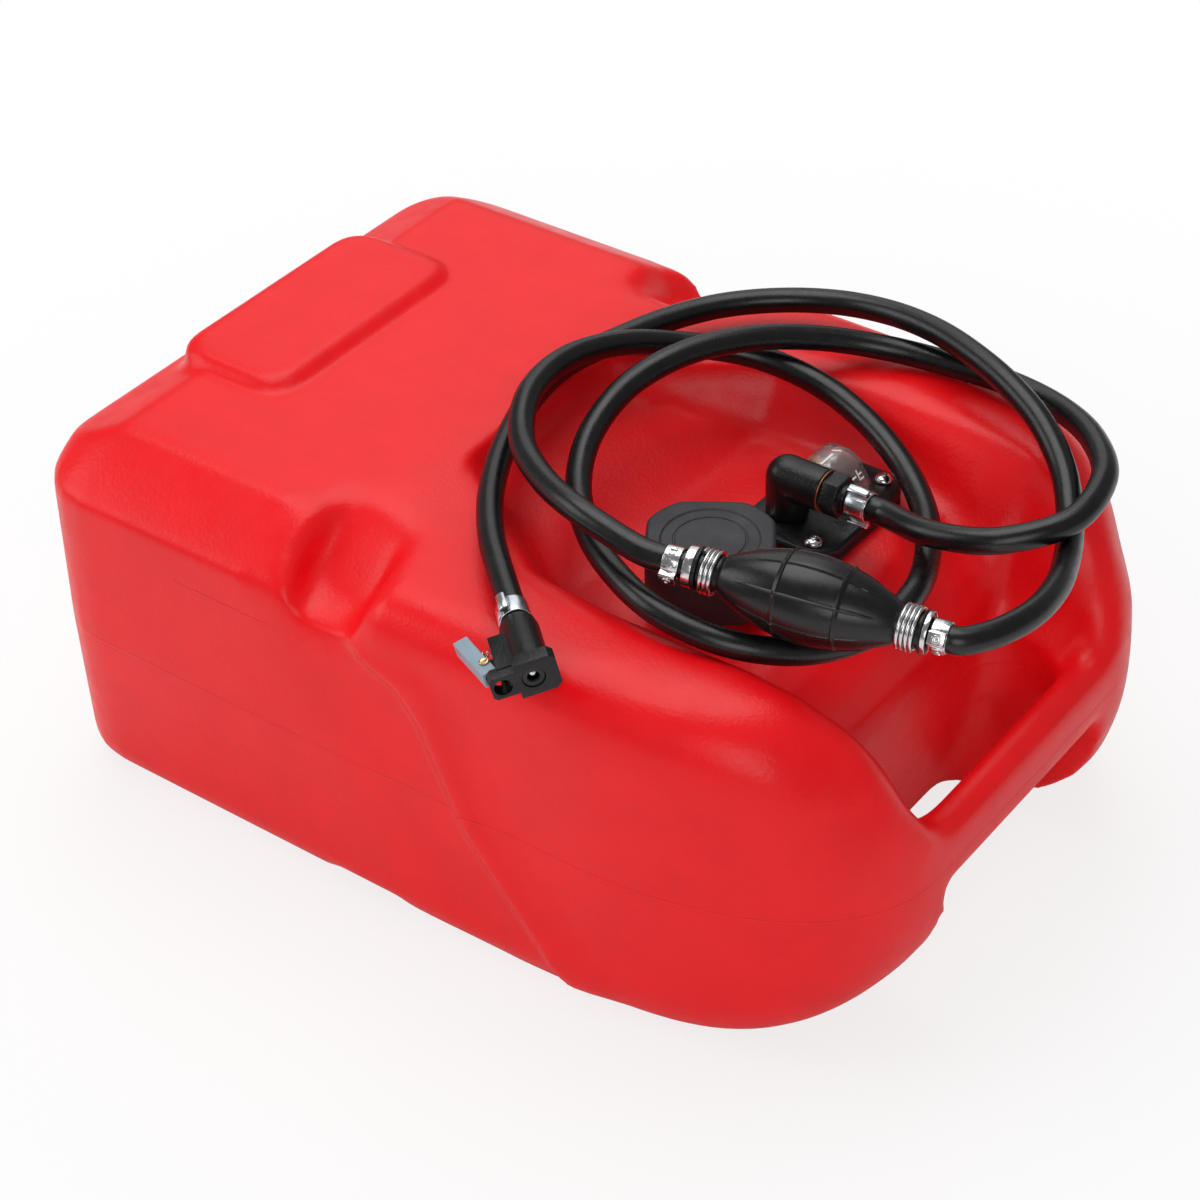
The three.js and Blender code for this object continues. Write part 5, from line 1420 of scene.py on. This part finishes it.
@dataclass
class EarClamp:
    """A band round the hose with crimped ears or a screw housing, and its overlapping end."""

    name: str
    angles: tuple[float, ...]
    width: float
    hooks: int = 0
    screwed: bool = False
    inner: float = 6.75
    thickness: float = 0.8
    ear_rise: float = 3.6
    ear_width: float = 4.6
    overlap: float = 62.0
    overlap_rise: float = 0.45
    overlap_inset: float = 0.9
    housing_half: float = 3.3

    @property
    def outer(self) -> float:
        """The band's outer radius."""
        return self.inner + self.thickness

    def build(self, place: Matrix, finishes: Finishes, slot: Slot, node: str) -> bpy.types.Object:
        """Makes the clamp.

        Args:
            place: where its local X axis starts and points.
            finishes: all finishes.
            slot: its finish's slot.
            node: the CAD node that it stands for.

        Returns:
            The piece.
        """
        inner, outer, width, soft = self.inner, self.outer, self.width, 0.25
        profile = [
            (0.0, inner), (0.0, outer - soft), (soft, outer), (width - soft, outer), (width, outer - soft),
            (width, inner),
        ]
        made = bmesh.new()
        made.from_mesh(lathed(self.name, profile, place, 72))
        for angle in self.angles:
            if self.screwed:
                self.add_housing(made, place, angle)
            else:
                self.add_ear(made, place, angle)
            self.add_overlap(made, place, angle)
        piece = bevelled(linked(self.name, mesh_from(self.name, made)), 0.18, 2, 40)
        return dressed(piece, finishes[slot], slot, node)

    def add_prism(
        self, made: bmesh.types.BMesh, place: Matrix, outline: Sequence[Pair], low: float, high: float,
        angle: float = 0.0,
    ) -> None:
        """Adds a prism along the clamp's axis.

        Args:
            made: the mesh so far, added to.
            place: the clamp's frame.
            outline: (y, z) pairs across the axis.
            low: where the prism starts along the axis.
            high: where it ends.
            angle: degrees that the outline is turned round the axis.
        """
        c, s = math.cos(math.radians(angle)), math.sin(math.radians(angle))
        turned = [(y * c - z * s, y * s + z * c) for y, z in outline]
        first, second = (
            [made.verts.new(place @ (Vector((along, y, z)) * MM)) for y, z in turned] for along in (low, high)
        )
        corners = list(zip(first, first[1:] + first[:1], second[1:] + second[:1], second))
        faces = [made.faces.new(corner) for corner in (*corners, first[::-1], second)]
        bmesh.ops.recalc_face_normals(made, faces=faces)

    def add_ear(self, made: bmesh.types.BMesh, place: Matrix, angle: float) -> None:
        """Adds one crimped ear at an angle round the band."""
        half, rise, steps = self.ear_width / 2, self.outer + self.ear_rise, 8
        side = []
        for k in range(steps + 1):
            t = k / steps
            pinch = 1 - 0.5 * math.sin(math.pi * min(1.0, t * 1.25)) ** 1.2
            across = half * pinch * (0.92 if t < 0.1 else 1)
            side.append((across, self.outer - 0.3 + (rise - self.outer - 0.5) * t))
        bends = np.radians((0, 25, 50, 75, 90))
        crown = [(half * math.cos(a), rise - 1.1 + 1.1 * math.sin(a)) for a in bends]
        right = [*side, *crown[1:]]
        outline = [*right, *((-y, z) for y, z in reversed(right[:-1]))]
        self.add_prism(made, place, outline, 0.3, self.width - 0.3, angle)

    def add_housing(self, made: bmesh.types.BMesh, place: Matrix, angle: float) -> None:
        """Adds the square screw housing that tightens a banded clamp."""
        outer, half = self.outer, self.housing_half
        right = [(half, outer - 0.7), (half, outer + 2.2), (half - 0.6, outer + 2.8)]
        corners = [*right, *((-y, z) for y, z in reversed(right))]
        self.add_prism(made, place, corners, 0.2, self.width - 0.2, angle)
        outwards = (
            place @ Matrix.Translation(Vector((self.width / 2, 0, 0)) * MM)
            @ Matrix.Rotation(math.radians(angle), 4, "X") @ Matrix.Rotation(-math.pi / 2, 4, "Y")
        )
        head = [
            (outer + 2.5, 0.01), (outer + 2.5, 2.1), (outer + 3.3, 2.1), (outer + 3.5, 1.8),
            (outer + 3.5, 1.0), (outer + 3.0, 0.8), (outer + 3.0, 0.01),
        ]
        made.from_mesh(lathed(f"{self.name}_head", head, outwards, 24))

    def add_overlap(self, made: bmesh.types.BMesh, place: Matrix, angle: float) -> None:
        """Adds the band's overlapping end beside an ear, with its hooks."""
        outer, begin, steps = self.outer, math.radians(angle + 24), 10
        arc = [begin + math.radians(self.overlap) * k / steps for k in range(steps + 1)]
        upper = [self.round_band(a, outer + self.overlap_rise) for a in arc]
        lower = [self.round_band(a, outer - 0.2) for a in reversed(arc)]
        inset = self.overlap_inset
        self.add_prism(made, place, [*upper, *lower], inset, self.width - inset)
        for k in range(self.hooks):
            first = begin + math.radians(12 + 22 * k)
            last = first + math.radians(9)
            corners = ((first, outer), (last, outer), (last, outer + 1.0), (first, outer + 1.0))
            outline = [self.round_band(*corner) for corner in corners]
            self.add_prism(made, place, outline, self.width * 0.3, self.width * 0.7)

    @staticmethod
    def round_band(angle: float, radius: float) -> Pair:
        """The (y, z) place at an angle and a radius round the clamp's axis."""
        return (-math.sin(angle) * radius, math.cos(angle) * radius)


@dataclass
class PrimerBulb:
    """The squeeze bulb between its two check valves."""

    line: FuelLine
    body: Pair = (-39.0, 44.2)
    ends: Pair = (-49.0, 55.0)
    neck_radius: float = 8.6
    max_radius: float = 20.4
    power: float = 0.8
    wall: float = 3.2
    rings: Pair = (0.36, 0.7)
    ring_rise: float = 0.75
    ring_half: float = 0.95
    ribs: int = 8
    rib_rise: float = 0.55
    rib_half: float = 0.55
    coil_radius: float = 10.0
    wire_radius: float = 0.97
    coil_pitch: float = 2.15
    steps: int = 150
    sides: int = 288

    def build(self, finishes: Finishes, coils: Tree) -> list[bpy.types.Object]:
        """Makes the bulb, its wound clamps and its valves.

        Args:
            finishes: all finishes.
            coils: the wound wire tree.

        Returns:
            The pieces made.
        """
        place = frame_along(self.line.bulb_centre, self.line.bulb_ahead)
        outside = self.outline()
        inside = [(along, radius - self.wall) for along, radius in reversed(outside[::6])]
        bulb = linked("bulb_body", lathed("bulb_body", [*outside, *inside], place, self.sides, self.ribbed))
        eased(bulb.data, 45.0)
        rubber = finishes[Slot.HOSE_RUBBER]
        pieces = [dressed(bulb, rubber, Slot.HOSE_RUBBER, "primer_bulb")]
        for end, sign, turns, start in (("inlet", -1, 3.5, 40.6), ("outlet", 1, 4.0, 45.4)):
            heading = self.line.bulb_ahead * sign
            clamp = WoundWire(turns, self.coil_pitch * turns, self.coil_radius, self.wire_radius, 12)
            foot = frame_along(self.line.bulb_centre + heading * start, heading)
            pieces.append(clamp.build(coils, f"{end}_coil", f"{end}_coil_clamp", foot, finishes))
            pieces.append(refined(f"{end}_valve", 0.5, finishes, Slot.BLACK_PLASTIC))
            pieces.append(refined(f"{end}_ring", 0.2, finishes, Slot.BRIGHT_STEEL))
            refined(f"{end}_valve_ball", 0.05, finishes, Slot.BRIGHT_STEEL)
        return pieces

    def swell(self, along: float) -> float:
        """The bulb's plain radius at a place along its axis."""
        rear, front = self.body
        share = min(max((along - rear) / (front - rear), 0.0), 1.0)
        spread = self.max_radius - self.neck_radius
        return self.neck_radius + spread * math.sin(math.pi * share) ** self.power

    def outline(self) -> list[Pair]:
        """The bulb's outer outline along its axis, as (along, radius) pairs."""
        first, last = self.ends
        places = [first + (last - first) * k / self.steps for k in range(self.steps + 1)]
        return [(along, self.swell(along)) for along in places]

    def ribbed(self, along: float, radius: float, angles: np.ndarray) -> np.ndarray:
        """Radii with the raised rings and the lengthwise lines of the bulb.

        Args:
            along: place along the axis.
            radius: the outline's radius there.
            angles: angles round the axis.

        Returns:
            One radius per angle.
        """
        rear, front = self.body
        t = (along - rear) / (front - rear)
        made = np.full(len(angles), radius)
        if radius < self.swell(along) - 0.5 or not 0.05 < t < 0.95:
            return made
        for at in self.rings:
            offset = abs(t - at) * (front - rear)
            made = made + self.ring_rise * max(0.0, 1 - (offset / self.ring_half) ** 2)
        fade = min(1.0, max(0.0, (t - 0.12) / 0.08)) * min(1.0, max(0.0, (0.9 - t) / 0.08))
        spacing = 2 * math.pi / self.ribs
        offset = np.abs((angles + spacing * 0.3) % spacing - spacing / 2) * radius
        return made + self.rib_rise * fade * np.clip(1 - (offset / self.rib_half) ** 2, 0, 1)


@dataclass(frozen=True)
class WoundWire:
    """A bright wire wound along a frame's X axis, sized in millimetres."""

    turns: float
    height: float
    coil_radius: float
    wire_radius: float
    wire_sides: int = 10

    def build(
        self, tree: Tree, name: str, node: str, place: Matrix, finishes: Finishes
    ) -> bpy.types.Object:
        """Makes the winding.

        Args:
            tree: the wound wire tree.
            name: the piece's name.
            node: the CAD node that it stands for.
            place: where the winding starts.
            finishes: all finishes.

        Returns:
            The piece.
        """
        slot = Slot.BRIGHT_STEEL
        piece = tree.applied(
            linked(name, bpy.data.meshes.new(name)), Steps=48, Turns=self.turns,
            Coil_Radius=self.coil_radius * MM, Height=self.height * MM, Wire_Sides=self.wire_sides,
            Wire_Radius=self.wire_radius * MM, Material=finishes[slot],
        )
        piece.data.transform(place @ Matrix.Rotation(math.pi / 2, 4, "Y"))
        return dressed(piece, finishes[slot], slot, node)


@dataclass
class QuickConnector:
    """The quick connector with its lever, springs, seal and ball."""

    line: FuelLine
    origin_along: float = 39.3
    port_foot: float = -19.19
    port_wire: WoundWire = WoundWire(4.0, 9.48, 2.1, 0.42)
    port_keep: float = 0.66
    lever_foot: Pair = (-24.962, -23.727)
    lever_wire: WoundWire = WoundWire(4.0, 8.607, 1.7, 0.32)
    lever_keep: float = 0.76

    def build(self, finishes: Finishes, coils: Tree) -> list[bpy.types.Object]:
        """Makes the connector's pieces.

        Args:
            finishes: all finishes.
            coils: the wound wire tree.

        Returns:
            The pieces made.
        """
        line = self.line
        place = frame_along(line.tail_point(self.origin_along), line.tail_ahead, line.connector_roll)
        pieces = [
            refined("connector_body", 0.7, finishes, Slot.BLACK_PLASTIC),
            refined("connector_lever", 0.45, finishes, Slot.LEVER_PLASTIC),
            refined("lever_pin", 0.2, finishes, Slot.BRASS),
            refined("port_seal", 0.2, finishes, Slot.SEAL_RUBBER),
            refined("port_ball", 0.05, finishes, Slot.BRIGHT_STEEL),
        ]
        inside = place @ Matrix.Translation(Vector((self.port_foot, 0, 0)) * MM)
        port_coil = self.port_wire.build(coils, "port_coil", "port_spring", inside, finishes)
        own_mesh(port_coil)
        across = (
            place @ Matrix.Translation(Vector((*self.lever_foot, 0)) * MM)
            @ Matrix.Rotation(math.pi / 2, 4, "Z")
        )
        lever_coil = self.lever_wire.build(coils, "lever_coil", "lever_spring", across, finishes)
        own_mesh(lever_coil)
        return [*pieces, port_coil, lever_coil]


# Studio


@dataclass
class Studio:
    """The pale floor, the soft lights and the photograph's camera."""

    camera_place: Point = (727.4, -955.1, 1024.0)
    azimuth: float = 37.73
    elevation: float = 37.74
    roll: float = -2.07
    lens: float = 88.945
    floor_half: float = 6.0
    ambient: float = 0.42
    mirrored: float = 0.2
    floor_glow: float = 0.78
    glow_from: float = 0.3
    glow_full: float = 0.7
    lights: tuple[tuple[str, Point, float, float], ...] = (
        ("overhead softbox", (-0.5, 0.35, 2.1), 1.7, 23.5),
        ("front fill", (1.3, -1.9, 1.3), 1.4, 15.0),
        ("left fill", (-1.9, -1.2, 1.2), 1.3, 12.0),
        ("back softbox", (-1.5, 2.0, 1.7), 1.8, 7.5),
    )

    def build(self) -> None:
        """Sets up the floor, the world, the lights and the camera."""
        self.make_floor()
        self.make_world()
        for name, place, size, power in self.lights:
            lamp = bpy.data.lights.new(name, "AREA")
            lamp.energy, lamp.size = power, size
            holder = bpy.data.objects.new(name, lamp)
            holder.location = place
            holder.rotation_euler = (Vector((0, 0, 0.1)) - Vector(place)).to_track_quat("-Z", "Y").to_euler()
            bpy.context.scene.collection.objects.link(holder)
        self.make_camera()
        bpy.context.scene.view_settings.view_transform = "Standard"

    def make_floor(self) -> None:
        """The floor: pale near the object, and the background's white further out."""
        half = self.floor_half
        corners = np.array([(-half, -half, 0), (half, -half, 0), (half, half, 0), (-half, half, 0)], float)
        floor = linked("floor", mesh_of("floor", corners, [(0, 1, 2, 3)]))
        made = Shader("pale floor")
        made.set(Base_Color=(0.88, 0.88, 0.88, 1), Roughness=0.9, Specular_IOR_Level=0.1)
        x, y, _ = made.axes()
        away = made.math("SQRT", made.math("ADD", made.math("MULTIPLY", x, x), made.math("MULTIPLY", y, y)))
        share = made.remap(away, self.floor_glow, 1.0, self.glow_from, self.glow_full)
        ray = made.node("ShaderNodeLightPath")
        seen = made.math("MAXIMUM", ray.outputs["Is Camera Ray"], ray.outputs["Is Transmission Ray"])
        made.mixed(made.node("ShaderNodeEmission").outputs[0], made.math("MULTIPLY", share, seen))
        floor.data.materials.append(made.material)

    def make_world(self) -> None:
        """Even light on the object, dim in its gloss and white where the camera sees it."""
        world = bpy.data.worlds.new("studio")
        world.use_nodes = True
        tree = world.node_tree
        shown = tree.nodes["Background"]
        shown.inputs["Color"].default_value = (1, 1, 1, 1)
        shown.inputs["Strength"].default_value = self.ambient
        ray = tree.nodes.new("ShaderNodeLightPath")
        for kind, strength in (("Is Glossy Ray", self.mirrored), ("Is Camera Ray", 1.0)):
            lit = tree.nodes.new("ShaderNodeBackground")
            lit.inputs["Color"].default_value = (1, 1, 1, 1)
            lit.inputs["Strength"].default_value = strength
            mixed = tree.nodes.new("ShaderNodeMixShader")
            tree.links.new(ray.outputs[kind], mixed.inputs[0])
            tree.links.new(shown.outputs[0], mixed.inputs[1])
            tree.links.new(lit.outputs[0], mixed.inputs[2])
            shown = mixed
        tree.links.new(shown.outputs[0], tree.nodes["World Output"].inputs[0])
        bpy.context.scene.world = world

    def make_camera(self) -> None:
        """The camera, where the photograph was taken from."""
        a, e, r = (math.radians(v) for v in (self.azimuth, self.elevation, self.roll))
        back = Vector((math.sin(a) * math.cos(e), -math.cos(a) * math.cos(e), math.sin(e)))
        right = (-back).cross(Vector((0, 0, 1))).normalized()
        up = right.cross(-back)
        turned_right = right * math.cos(r) + up * math.sin(r)
        turned_up = up * math.cos(r) - right * math.sin(r)
        data = bpy.data.cameras.new("camera")
        data.lens, data.sensor_width, data.sensor_fit = self.lens, 36.0, "HORIZONTAL"
        data.clip_start, data.clip_end = 0.05, 50.0
        camera = bpy.data.objects.new("camera", data)
        turn = Matrix((turned_right, turned_up, back)).transposed()
        camera.matrix_world = Matrix.Translation(Vector(self.camera_place) * MM) @ turn.to_4x4()
        bpy.context.scene.collection.objects.link(camera)
        bpy.context.scene.camera = camera


def main() -> None:
    """Builds the tank's looks around the frame."""
    logging.basicConfig(level=logging.INFO, format="%(message)s")
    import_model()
    Studio().build()
    finishes = Finishes()
    FuelLine().build(finishes)
    TankBody().build(finishes)
    FillerCap().build(finishes)
    FuelHead().build(finishes)
    FloatGauge().build(finishes)


if __name__ == "__main__":
    main()
